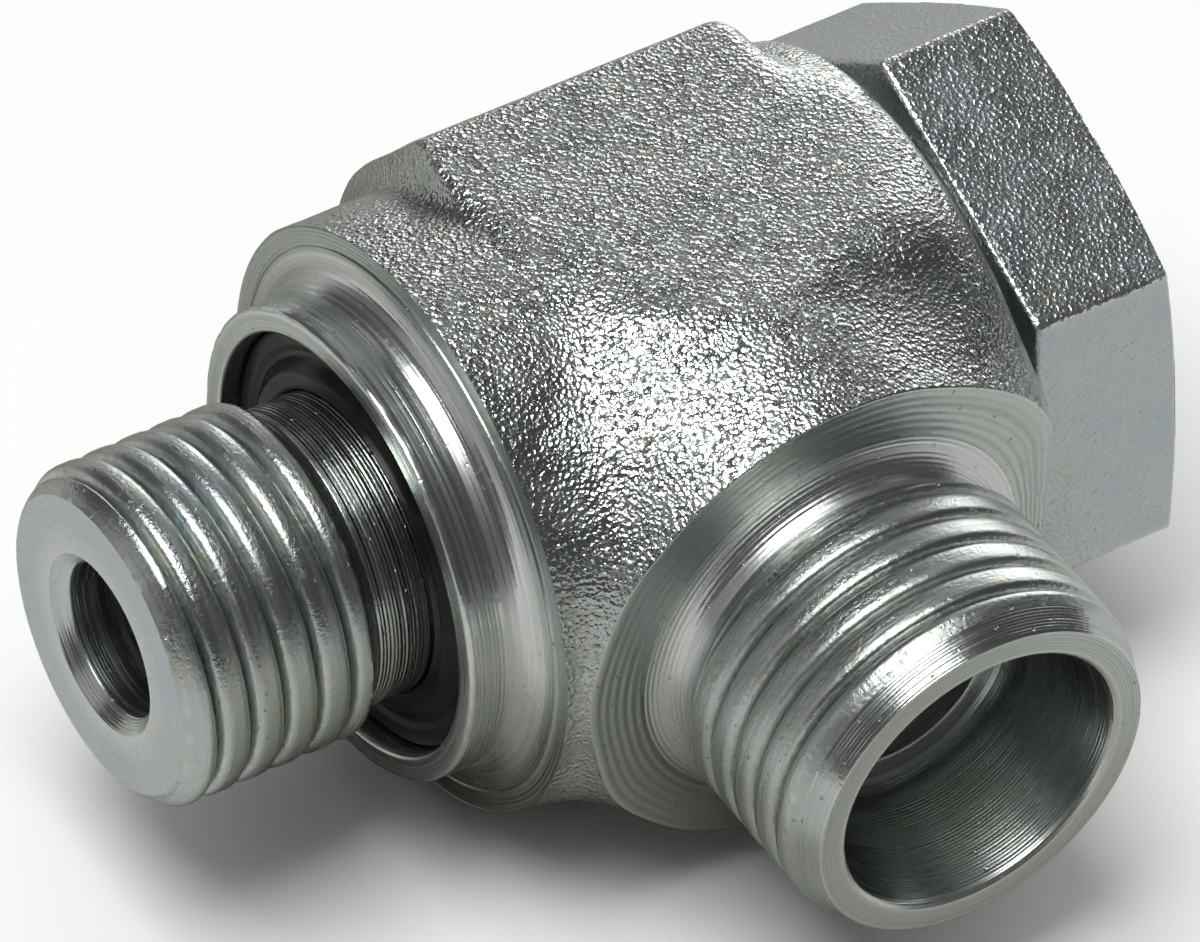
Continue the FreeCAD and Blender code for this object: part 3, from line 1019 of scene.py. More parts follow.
@dataclass(frozen=True)
class TurnedZinc(Finish):
    """Zinc plating over turned steel.

    Attributes:
        feed: Spacing of the cutting lines in millimetres.
        uneven: How ragged the lines are, from 0 to 1.
        tint: Strength of the coloured patches.
        lines: Share of the cutting lines in the relief.
        dents: Share of the fine dents in the relief.
        dent_size: Dents to a metre.
        streak: Strength of the lines' darker streaks.
        streak_colour: Colour of those streaks.
        nick_colour: Colour in the nicks.
        nick_depth: Depth of the nicks as a multiple of the lines' depth.
        worn_colour: Colour of the worn edges.
    """

    name: str = "turned_zinc"
    feed: float = 0.18
    uneven: float = 0.6
    depth: float = 0.000005
    roughness: tuple[float, float] = (0.22, 0.36)
    tint: float = 0.8
    lines: float = 1.0
    dents: float = 2.2
    dent_size: float = 2600.0
    streak: float = 0.2
    streak_colour: Colour = (0.45, 0.47, 0.45)
    stain_colour: Colour = (0.42, 0.40, 0.33)
    nick_colour: Colour = (0.3, 0.3, 0.28)
    nick_depth: float = 3.0
    worn_colour: Colour = (0.84, 0.84, 0.83)

    def build(self, effects: SharedEffects) -> bpy.types.Material:
        """Make the material.

        Args:
            effects: The shared groups.

        Returns:
            The material.
        """
        coat = Coat(self.name, Slot.TURNED)
        tint = coat.effect(effects.tint, coat.place, Scale=260.0, Strength=self.tint)
        lines = coat.effect(effects.lines, coat.lathe(), Feed=self.feed, Uneven=self.uneven)
        specks = coat.effect(effects.specks, coat.place, Size=1300.0)
        streaked = coat.over(tint["Colour"], lines["Streak"], self.streak, self.streak_colour)
        stained = coat.over(streaked, specks["Stain"], 0.35, self.stain_colour)
        nicked = coat.over(stained, specks["Nick"], 0.5, self.nick_colour)
        streaks = coat.span(lines["Streak"], 0.0, 1.0, *self.roughness)
        coat.shine(
            Base_Color=coat.over(nicked, coat.worn(), 0.55, self.worn_colour), Metallic=1.0,
            Roughness=coat.plus(streaks, coat.times(specks["Stain"], 0.15)))
        dents = coat.noise(coat.place, self.dent_size, 4.0, 0.6)
        height = coat.plus(coat.times(lines["Height"], self.lines), coat.times(dents, self.dents))
        lowered = coat.math("SUBTRACT", height, coat.times(specks["Nick"], self.nick_depth))
        coat.emboss(lowered, self.depth)
        return coat.material


@dataclass(frozen=True)
class DrawnZinc(Finish):
    """Zinc plating over the drawn hexagon's flats and its end face.

    Attributes:
        dimple: Plating grains to a metre.
        pore_shade_colour: Painted shade in the pits, tinted bluish.
        cloud_colour: Colour of the broad clouds.
        worn_colour: Colour of the worn edges.
    """

    name: str = "drawn_zinc"
    dimple: float = 5300.0
    depth: float = 0.000042
    roughness: tuple[float, float] = (0.27, 0.36)
    pore_shade_colour: Colour = (0.47, 0.5, 0.6)
    cloud_colour: Colour = (0.54, 0.57, 0.67)
    stain_colour: Colour = (0.50, 0.47, 0.38)
    worn_colour: Colour = (0.86, 0.86, 0.8)

    def build(self, effects: SharedEffects) -> bpy.types.Material:
        """Make the material.

        Args:
            effects: The shared groups.

        Returns:
            The material.
        """
        coat = Coat(self.name, Slot.TURNED)
        tint = coat.effect(effects.tint, coat.place, Scale=170.0, Strength=1.0)
        specks = coat.effect(effects.specks, coat.place, Size=620.0)
        grain = coat.effect(effects.grain, coat.place, Size=self.dimple)
        cloud = coat.noise(coat.place, 420.0, 4.0, 0.6)
        # Painted shade: the hexagon's pits are darkened and tinted bluish.
        pore_shaded = coat.over(tint["Colour"], grain["Pit"], 0.6, self.pore_shade_colour)
        clouded = coat.mix(coat.span(cloud, 0.42, 0.72, 0.0, 0.3), pore_shaded, self.cloud_colour)
        stained = coat.over(clouded, specks["Stain"], 0.2, self.stain_colour)
        coat.shine(
            Base_Color=coat.over(stained, coat.worn(), 0.6, self.worn_colour), Metallic=1.0,
            Roughness=coat.span(cloud, 0.35, 0.68, *self.roughness))
        coat.emboss(grain["Height"], self.depth)
        return coat.material


@dataclass(frozen=True)
class BlackElastomer(Finish):
    """Moulded black rubber with a faint brown bloom.

    Attributes:
        colour: The rubber's colour.
        bloom_colour: Colour of the bloom.
        specular: Strength of the shine, 0.5 being a plain one.
    """

    name: str = "black_elastomer"
    depth: float = 0.000004
    roughness: tuple[float, float] = (0.26, 0.42)
    colour: Colour = (0.005, 0.005, 0.005)
    bloom_colour: Colour = (0.014, 0.0125, 0.011)
    stain_colour: Colour = (0.04, 0.035, 0.03)
    specular: float = 0.25

    def build(self, effects: SharedEffects) -> bpy.types.Material:
        """Make the material.

        Args:
            effects: The shared groups.

        Returns:
            The material.
        """
        coat = Coat(self.name, Slot.ELASTOMER)
        lines = coat.effect(effects.lines, coat.lathe(), Feed=0.16, Uneven=0.8)
        specks = coat.effect(effects.specks, coat.place, Size=1300.0)
        bloom = coat.noise(coat.place, 350.0, 4.0, 0.6)
        bloomed = coat.mix(coat.span(bloom, 0.42, 0.7), self.colour, self.bloom_colour)
        coat.shine(
            Base_Color=coat.over(bloomed, specks["Stain"], 0.3, self.stain_colour),
            Roughness=coat.span(bloom, 0.3, 0.7, *self.roughness), Specular_IOR_Level=self.specular)
        fine = coat.noise(coat.place, 4200.0, 3.0)
        coat.emboss(coat.plus(coat.times(lines["Height"], 0.5), coat.times(fine, 1.4)), self.depth)
        return coat.material


@dataclass(frozen=True)
class PaleFloor:
    """Plain pale paper that the fitting lies on, as the camera and the bright metal see it.

    The metal mirrors a darker floor near the fitting than the camera sees: painted shade that only glossy
    rays see, darkest as a painted shadow under the fitting.

    Attributes:
        name: The material's name.
        paper: The paper's darker and lighter tone.
        under: The painted shadow tone that the metal mirrors under the fitting.
        front: The painted shade tone that the metal mirrors in front of it.
        aside: The lighter painted shade tone that the metal mirrors beside and behind it.
        near: Distances, in metres, over which the painted shade tones give way to the paper's.
        front_reach: Places along Y, in metres, between which the front tone sets in.
        side_middle: Place along X, in metres, that the sides are measured from.
        side_reach: Distances from there over which the side tone sets in.
        rear_reach: Places along Y over which it gives way behind, and its shares there.
    """

    name: str = "pale_floor"
    paper: tuple[Colour, Colour] = ((0.9, 0.9, 0.895), (0.94, 0.94, 0.935))
    under: Colour = (0.23, 0.23, 0.2)
    front: Colour = (0.4, 0.4, 0.36)
    aside: Colour = (0.6, 0.6, 0.59)
    near: tuple[float, float] = (0.04, 0.25)
    front_reach: tuple[float, float] = (-0.03, -0.005)
    side_middle: float = -0.004
    side_reach: tuple[float, float] = (0.014, 0.024)
    rear_reach: tuple[float, ...] = (0.025, 0.05, 1.0, 0.2)

    def build(self) -> bpy.types.Material:
        """Make the material, with a slight unevenness of tone, and painted shade near the fitting that only
        the metal's reflections see.

        Returns:
            The material.
        """
        coat = Coat(self.name)
        tone = coat.noise(coat.place, 14.0, 3.0)
        away = coat.node("ShaderNodeVectorMath", operation="LENGTH", Vector=coat.place).outputs["Value"]
        near = coat.span(away, *self.near, 1.0, 0.0)
        # Painted shade: glossy rays see the floor darkened near the fitting, a painted shadow under it and
        # lighter painted shade in front, beside and behind it.
        mirrored = coat.node("ShaderNodeLightPath").outputs["Is Glossy Ray"]
        across, along, _ = coat.node("ShaderNodeSeparateXYZ", Vector=coat.place).outputs
        under = coat.mix(coat.span(along, *self.front_reach, 1.0, 0.0), self.under, self.front)
        aside = coat.math("ABSOLUTE", coat.plus(across, -self.side_middle))
        beside = coat.times(coat.span(aside, *self.side_reach), coat.span(along, *self.rear_reach))
        shaded = coat.mix(beside, under, self.aside)
        coat.shine(
            Base_Color=coat.mix(coat.times(mirrored, near), coat.mix(tone, *self.paper), shaded),
            Roughness=coat.span(tone, 0.3, 0.7, 0.6, 0.75))
        return coat.material


class Finishes:
    """Every material of the fitting, built once."""

    def __init__(self) -> None:
        """Build the shared groups, and the materials from them."""
        effects = SharedEffects()
        self.forged = ForgedZinc().build(effects)
        self.turned = TurnedZinc().build(effects)
        self.faced = TurnedZinc(
            name="faced_zinc", feed=0.2, uneven=0.22, depth=0.000008, roughness=(0.27, 0.37),
        ).build(effects)
        self.necked = TurnedZinc(
            name="necked_zinc", feed=0.17, uneven=0.35, depth=0.000012, roughness=(0.18, 0.34), tint=0.5,
        ).build(effects)
        self.bored = TurnedZinc(
            name="bored_zinc", feed=0.14, uneven=0.3, depth=0.000003, roughness=(0.22, 0.34), tint=0.5,
        ).build(effects)
        self.threaded = TurnedZinc(
            name="threaded_zinc", uneven=0.3, depth=0.000008, roughness=(0.24, 0.34), tint=1.0, lines=0.12,
            dents=4.4, dent_size=5000.0, streak=0.12,
        ).build(effects)
        self.rimmed = TurnedZinc(
            name="rimmed_zinc", feed=0.13, uneven=0.5, depth=0.000007, roughness=(0.2, 0.3), streak=0.7,
        ).build(effects)
        self.drawn = DrawnZinc().build(effects)
        self.rubber = BlackElastomer().build(effects)


# The forging's own shape, shared by the body's skin and the port's shoulder

@dataclass
class Forging:
    """The drop forging as one distance field.

    The field is the smooth join of a round hub on the bolt's axis, a block with wide flats
    whose ends slope down to the hub, and the drafted boss of the tube port.

    Attributes:
        hub_radius: Radius of the round hub.
        flat_height: Height of the flats above and below the bolt's axis.
        reach: How far the block reaches in front of the bolt's axis and behind it.
        slope_angle: Angle of the long slopes' outward direction above the level, in degrees.
        slope_away: Distance of the front and the rear slopes from the bolt's axis.
        stud_foot: Where the stud-side slope meets the hub.
        stud_slope: Steepness of the stud-side slope in front and behind, in degrees.
        head_foot: Where the head-side slope meets the hub on top.
        head_foot_back: How much nearer to the port's axis it is behind.
        head_foot_front: How much nearer to the hex head it is in front.
        head_slope: Steepness of the head-side slope in front and behind, in degrees.
        head_face: Where the face under the hex head is.
        rim_drop: How much narrower the hub is at that face.
        rim_reach: Length over which it narrows.
        stud_steepen: Places in Y between which the stud-side slope gets steeper.
        head_recede: Places in Y between which the head-side foot moves to the port's axis.
        head_advance: Distances in front over which that foot moves to the hex head.
        head_steepen: Places in Y between which the head-side slope gets steeper.
        block_rounding: Rounding of the block's front and rear faces.
        stud_rounding: Rounding of the stud-side slope's edges, in front and behind.
        head_rounding: Rounding of the head-side slope's edges.
        hub_fillet: Width of the fillet between the block and the hub.
        port_radius: Radius of the port's boss at the shoulder.
        shoulder: Distance of the shoulder from the bolt's axis.
        draft: Draft of the port's boss at its sides and on top, in degrees.
        port_inner: Where the port's boss ends inside the block.
        port_inner_rounding: Rounding of that end.
        port_sink: How far that end lies below the flats.
        port_sink_reach: Places in Y between which the boss sinks below them.
        port_rounding: Rounding of the boss under the flats' height.
        fillet_side: Width of the fillet between the port's boss and the hub at the sides.
        fillet_top: How much wider that fillet is part of the way up.
        fillet_widen: Heights between which it gets wider.
        fillet_narrow: Heights between which it gets narrower again.
        crease: Rounding of the flats' front and rear edges.
        seam_height: Height of the parting line's ridge.
        seam_width: Height over the middle plane where the ridge has run out.
        seam_end: Place in Y where the ridge is trimmed off at the port.
        waves: Height, cell and seed of each noise on the forged skin.
    """

    hub_radius: float = 12.2
    flat_height: float = 12.3
    reach: tuple[float, float] = (11.95, 12.25)
    slope_angle: float = 39.4
    slope_away: tuple[float, float] = (13.1, 13.3)
    stud_foot: float = -7.7
    stud_slope: tuple[float, float] = (34.0, 77.0)
    head_foot: float = 8.8
    head_foot_back: float = 1.0
    head_foot_front: float = 1.7
    head_slope: tuple[float, float] = (22.0, 66.0)
    head_face: float = 9.9
    rim_drop: float = 0.25
    rim_reach: float = 1.5
    stud_steepen: tuple[float, float] = (-3.0, 6.0)
    head_recede: tuple[float, float] = (0.0, 6.0)
    head_advance: tuple[float, float] = (1.5, 7.0)
    head_steepen: tuple[float, float] = (2.0, 6.5)
    block_rounding: float = 2.0
    stud_rounding: tuple[float, float] = (2.2, 0.2)
    head_rounding: float = 0.7
    hub_fillet: float = 0.45
    port_radius: float = 10.93
    shoulder: float = 12.57
    draft: tuple[float, float] = (3.0, 14.0)
    port_inner: float = -3.0
    port_inner_rounding: float = 1.5
    port_sink: float = 0.8
    port_sink_reach: tuple[float, float] = (-7.5, -4.0)
    port_rounding: float = 0.4
    fillet_side: float = 0.9
    fillet_top: float = 2.4
    fillet_widen: tuple[float, float] = (2.0, 7.0)
    fillet_narrow: tuple[float, float] = (9.5, 11.8)
    crease: tuple[float, float] = (1.8, 0.5)
    seam_height: float = 0.2
    seam_width: float = 0.38
    seam_end: float = -11.0
    waves: tuple[tuple[float, float, int], ...] = ((0.030, 2.6, 11), (0.008, 1.0, 23), (0.006, 0.42, 37))

    def field(self, points: np.ndarray) -> np.ndarray:
        """Signed distance of places from the forging's skin, negative inside.

        The block is the smooth greatest of its flats and slopes, its front and rear, and
        its two end slopes. The hub and the block are joined by a smooth least, and so is
        the port's boss, a cone that is cut at its inner end and under the flats.

        Args:
            points: Places in millimetres, one to a row.

        Returns:
            One distance for each place.
        """
        x, y, z = points[:, 0], points[:, 1], points[:, 2]
        out = np.hypot(y, z)
        rise = math.radians(self.slope_angle)
        slope = np.abs(y) * math.cos(rise) + np.abs(z) * math.sin(rise) - between(self.slope_away, y > 0)
        crest = smooth_max(np.abs(z) - self.flat_height, slope, between(self.crease, y > 0))
        block = smooth_max(crest, np.abs(y) - between(self.reach, y > 0), self.block_rounding)
        narrowed = self.rim_drop * smooth_step(x, self.head_face - self.rim_reach, self.head_face)
        beyond = out - self.hub_radius + narrowed
        steeper = smooth_step(y, *self.stud_steepen)
        tilt = np.radians(between(self.stud_slope, steeper))
        stud_end = beyond * np.cos(tilt) - (x - self.stud_foot) * np.sin(tilt)
        foot = self.head_foot - self.head_foot_back * smooth_step(y, *self.head_recede)
        foot = foot + self.head_foot_front * smooth_step(-y, *self.head_advance)
        tilt = np.radians(between(self.head_slope, smooth_step(y, *self.head_steepen)))
        head_end = beyond * np.cos(tilt) + (x - foot) * np.sin(tilt)
        block = smooth_max(block, stud_end, between(self.stud_rounding, steeper))
        block = smooth_max(block, head_end, self.head_rounding)
        joined = smooth_min(beyond, block, self.hub_fillet)
        sideways = np.hypot(x, z)
        steep = (z / np.maximum(sideways, 0.001)) ** 2
        draft = np.tan(np.radians(between(self.draft, steep)))
        widened = (np.minimum(y, self.port_inner) + self.shoulder) * draft
        port = (sideways - self.port_radius - widened) / np.sqrt(1.0 + draft * draft)
        port = smooth_max(port, (y - self.port_inner) * 0.7, self.port_inner_rounding)
        sunk = self.port_sink * smooth_step(y, *self.port_sink_reach)
        port = smooth_max(port, np.abs(z) - self.flat_height + sunk, self.port_rounding)
        width = self.fillet_side + self.fillet_top * smooth_step(np.abs(z), *self.fillet_widen)
        width -= self.fillet_top * smooth_step(np.abs(z), *self.fillet_narrow)
        return smooth_min(joined, port, width)

    def normal(self, points: np.ndarray) -> np.ndarray:
        """Outward directions, from the field's differences over a tenth of a millimetre.

        Args:
            points: Places near the skin, one to a row.

        Returns:
            One unit direction for each place.
        """
        step = 0.05
        slopes = []
        for axis in range(3):
            shift = np.zeros(3)
            shift[axis] = step
            slopes.append(self.field(points + shift) - self.field(points - shift))
        found = np.stack(slopes, axis=1)
        return found / np.maximum(np.linalg.norm(found, axis=1), 1e-9)[:, None]

    def relief(self, points: np.ndarray) -> np.ndarray:
        """Height of the forged skin over its smooth shape.

        The height is the sum of the skin's noises, plus the parting line's ragged ridge,
        which falls off as exp of minus the square of the height over the middle plane.

        Args:
            points: Places on the smooth shape.

        Returns:
            One height for each place, in millimetres.
        """
        height = np.zeros(len(points))
        for rise, cell, seed in self.waves:
            height += rise * lattice_noise(points, cell, seed)
        ragged = 0.6 + 0.5 * lattice_noise(points, 0.9, 53)
        seam = np.exp(-((points[:, 2] / self.seam_width) ** 2)) * self.seam_height * ragged
        return height + seam * (points[:, 1] > self.seam_end)

    def reach_from(self, start: np.ndarray, ray: np.ndarray, near: float, far: float) -> np.ndarray:
        """Distance along rays to the skin, by halving the span between near and far.

        Args:
            start: Where the rays leave, one to a row.
            ray: Their directions.
            near: A distance that is inside.
            far: A distance that is outside.

        Returns:
            One distance for each ray.
        """
        low = np.full(len(start), near)
        high = np.full(len(start), far)
        for _ in range(HALVINGS):
            middle = 0.5 * (low + high)
            inside = self.field(start + ray * middle[:, None]) < 0.0
            low = np.where(inside, middle, low)
            high = np.where(inside, high, middle)
        return 0.5 * (low + high)


@dataclass
class ForgedBody:
    """The forging with its turned collar, head face and bolt bore.

    Attributes:
        forging: The forging's field.
        stud_end: Where the forging's stud-side face is.
        head_face: Where the face under the hex head is.
        collar_end: Where the collar's face is.
        collar_radius: Radius of the collar.
        collar_root: Radius of the fillet behind the collar.
        recess_radius: Radius of the stud seal's recess.
        recess_floor: Where that recess ends.
        head_recess_radius: Radius of the head seal's recess.
        head_recess_floor: Where that recess ends.
        bore_radius: Radius of the bolt's bore.
        port_bore_radius: Radius of the passage to the tube port.
        span: Radii between which the forged skin lies everywhere.
        edge_rows: Rows of the head face's edge break, each its distance in from the skin
            and its distance from the head face.
        face_rows: Rows of the stud-side face, each its share of the way from the collar's
            fillet to the skin and its place behind the face's plane.
        under_shoulder: How far below the port's shoulder the skin is kept.
        reach_limit: How far the skin may go up, down and back.
        bench_wear: Wear of the skin's edge on the stud side, and the wear's width.
        columns: Points round the bolt's axis.
        skin_rows: Points along the skin.
    """

    forging: Forging
    stud_end: float = -11.9
    head_face: float = 9.9
    collar_end: float = -14.75
    collar_radius: float = 9.85
    collar_root: float = 1.3
    recess_radius: float = 8.8
    recess_floor: float = -10.3
    head_recess_radius: float = 9.2
    head_recess_floor: float = 7.9
    bore_radius: float = 7.25
    port_bore_radius: float = 4.0
    span: tuple[float, float] = (8.0, 19.0)
    edge_rows: tuple[tuple[float, float], ...] = ((0.18, 0.17), (0.35, 0.0))
    face_rows: tuple[tuple[float, float], ...] = (
        (0.02, -0.02), (0.05, -0.07), (0.08, -0.07), (0.11, 0.03), (0.16, 0.05), (0.4, 0.05), (0.6, 0.05),
        (0.8, 0.05), (0.93, 0.04), (0.98, 0.01))
    under_shoulder: float = 0.07
    reach_limit: float = 12.49
    bench_wear: tuple[float, float] = (0.35, 0.1)
    columns: int = 400
    skin_rows: int = 130

    def skin(self, angle: np.ndarray) -> tuple[np.ndarray, np.ndarray]:
        """The forged skin as points, with its edge wear.

        For each place along the bolt and each angle round it, the radius is where the ray
        leaves the forging's field. The point then moves along the field's normal by the
        relief, and is lowered to just under the port's shoulder.

        Args:
            angle: The angle of each column.

        Returns:
            Points, rows by columns by 3, and wear, rows by columns.
        """
        last = self.head_face - self.edge_rows[-1][0]
        along = np.linspace(self.stud_end, last, self.skin_rows)[:, None]
        start = turned_points(Axis.BOLT, along, 0.0, angle).reshape(-1, 3)
        ray = turned_points(Axis.BOLT, 0 * along, 1.0, angle).reshape(-1, 3)
        points = start + ray * self.forging.reach_from(start, ray, *self.span)[:, None]
        normal = self.forging.normal(points)
        relief = self.forging.relief(points)
        inner = smooth_step(points[:, 0], self.stud_end, self.stud_end + 0.6)
        inner *= 1.0 - smooth_step(points[:, 0], last - 0.6, last)
        move = normal * relief[:, None]
        move[:, 0] *= inner
        points = points + move
        plane = self.forging.shoulder - self.under_shoulder
        shrink = np.where(points[:, 1] < -plane, plane / np.maximum(-points[:, 1], 0.001), 1.0)
        points[:, 1:] *= shrink[:, None]
        points[:, 2] = np.clip(points[:, 2], -self.reach_limit, self.reach_limit)
        points[:, 1] = np.minimum(points[:, 1], self.reach_limit)
        strength, width = self.bench_wear
        wear = strength * np.exp(-((points[:, 0] - self.stud_end) / width) ** 2)
        return points.reshape(self.skin_rows, -1, 3), wear.reshape(self.skin_rows, -1)

    def build(self, finishes: Finishes) -> bpy.types.Object:
        """Make the body's forging.

        The outline goes up the stud's recess, over the collar and the boss's face, along
        the forged skin, down the head's face and back along the bore.

        Args:
            finishes: The fitting's materials.

        Returns:
            The dressed body.
        """
        turn = np.arange(self.columns) / self.columns
        angle = turn * FULL_TURN
        skin, skin_wear = self.skin(angle)
        collar = Outline.through([
            (self.recess_floor, self.bore_radius),
            (self.recess_floor, self.recess_radius, 0.15),
            (self.collar_end, self.recess_radius, 0.16),
            (self.collar_end, self.collar_radius, 0.18),
            (self.stud_end, self.collar_radius, self.collar_root),
            (self.stud_end, self.collar_radius + self.collar_root + 0.12),
        ], 0.3)
        front = turned_points(Axis.BOLT, collar.along[:, None], self._burred(collar, angle), angle)
        inner, outer = collar.radius[-1], np.hypot(skin[0, :, 1], skin[0, :, 2])
        share, step = np.array(self.face_rows).T[:, :, None]
        face_radius = inner + (outer - inner) * share
        face = turned_points(Axis.BOLT, self.stud_end + step, face_radius, angle)
        inwards, before = np.array(self.edge_rows).T[:, :, None]
        edge_radius = np.hypot(skin[-1, :, 1], skin[-1, :, 2]) - inwards
        edge = turned_points(Axis.BOLT, self.head_face - before, edge_radius, angle)
        back = Outline.through([
            (self.head_face, 11.6),
            (self.head_face, self.head_recess_radius, 0.1),
            (self.head_recess_floor, self.head_recess_radius, 0.1),
            (self.head_recess_floor, self.bore_radius, 0.1),
            (self.recess_floor + 0.4, self.bore_radius),
        ], 1.8)
        points = np.concatenate([front, face, skin, edge, back.swept(Axis.BOLT, angle)])
        wear = np.concatenate([
            level(collar.wear, self.columns), 0 * face_radius, skin_wear, 0.3 + 0 * edge_radius,
            level(0.4 * back.wear, self.columns)])
        skin_from = len(front) + len(face)
        slots = np.full(len(points), BodySkin.FACED)
        slots[:len(front)] = BodySkin.TURNED
        slots[skin_from:skin_from + len(skin) - 1] = BodySkin.FORGED
        run = Outline.first_column(points, Axis.BOLT).run()
        sheet = Sheet(points, run, turn, wear, slots, closed=True)
        piece = sheet.to_object("forged_body", [finishes.forged, finishes.faced, finishes.turned])
        cut_away(piece, [Drill(Axis.PORT, 5.0, 14.0, self.port_bore_radius - 0.01).cutter("passage_drill")])
        return piece

    def _burred(self, collar: Outline, angle: np.ndarray) -> np.ndarray:
        """The collar's radii, with the worn outer edge's small ragged burrs.

        Args:
            collar: The collar's outline.
            angle: The angle of each column.

        Returns:
            Radii, rows by columns.
        """
        ring = np.stack([0 * angle, np.cos(angle), np.sin(angle)], axis=1) * self.collar_radius
        ragged = 0.035 * lattice_noise(ring, 0.8, 71) + 0.02 * lattice_noise(ring, 0.3, 73)
        near = np.exp(-((collar.along - self.collar_end) / 0.18) ** 2)
        outer = near * (collar.radius > self.collar_radius - 0.3)
        return collar.radius[:, None] + outer[:, None] * ragged[None, :]


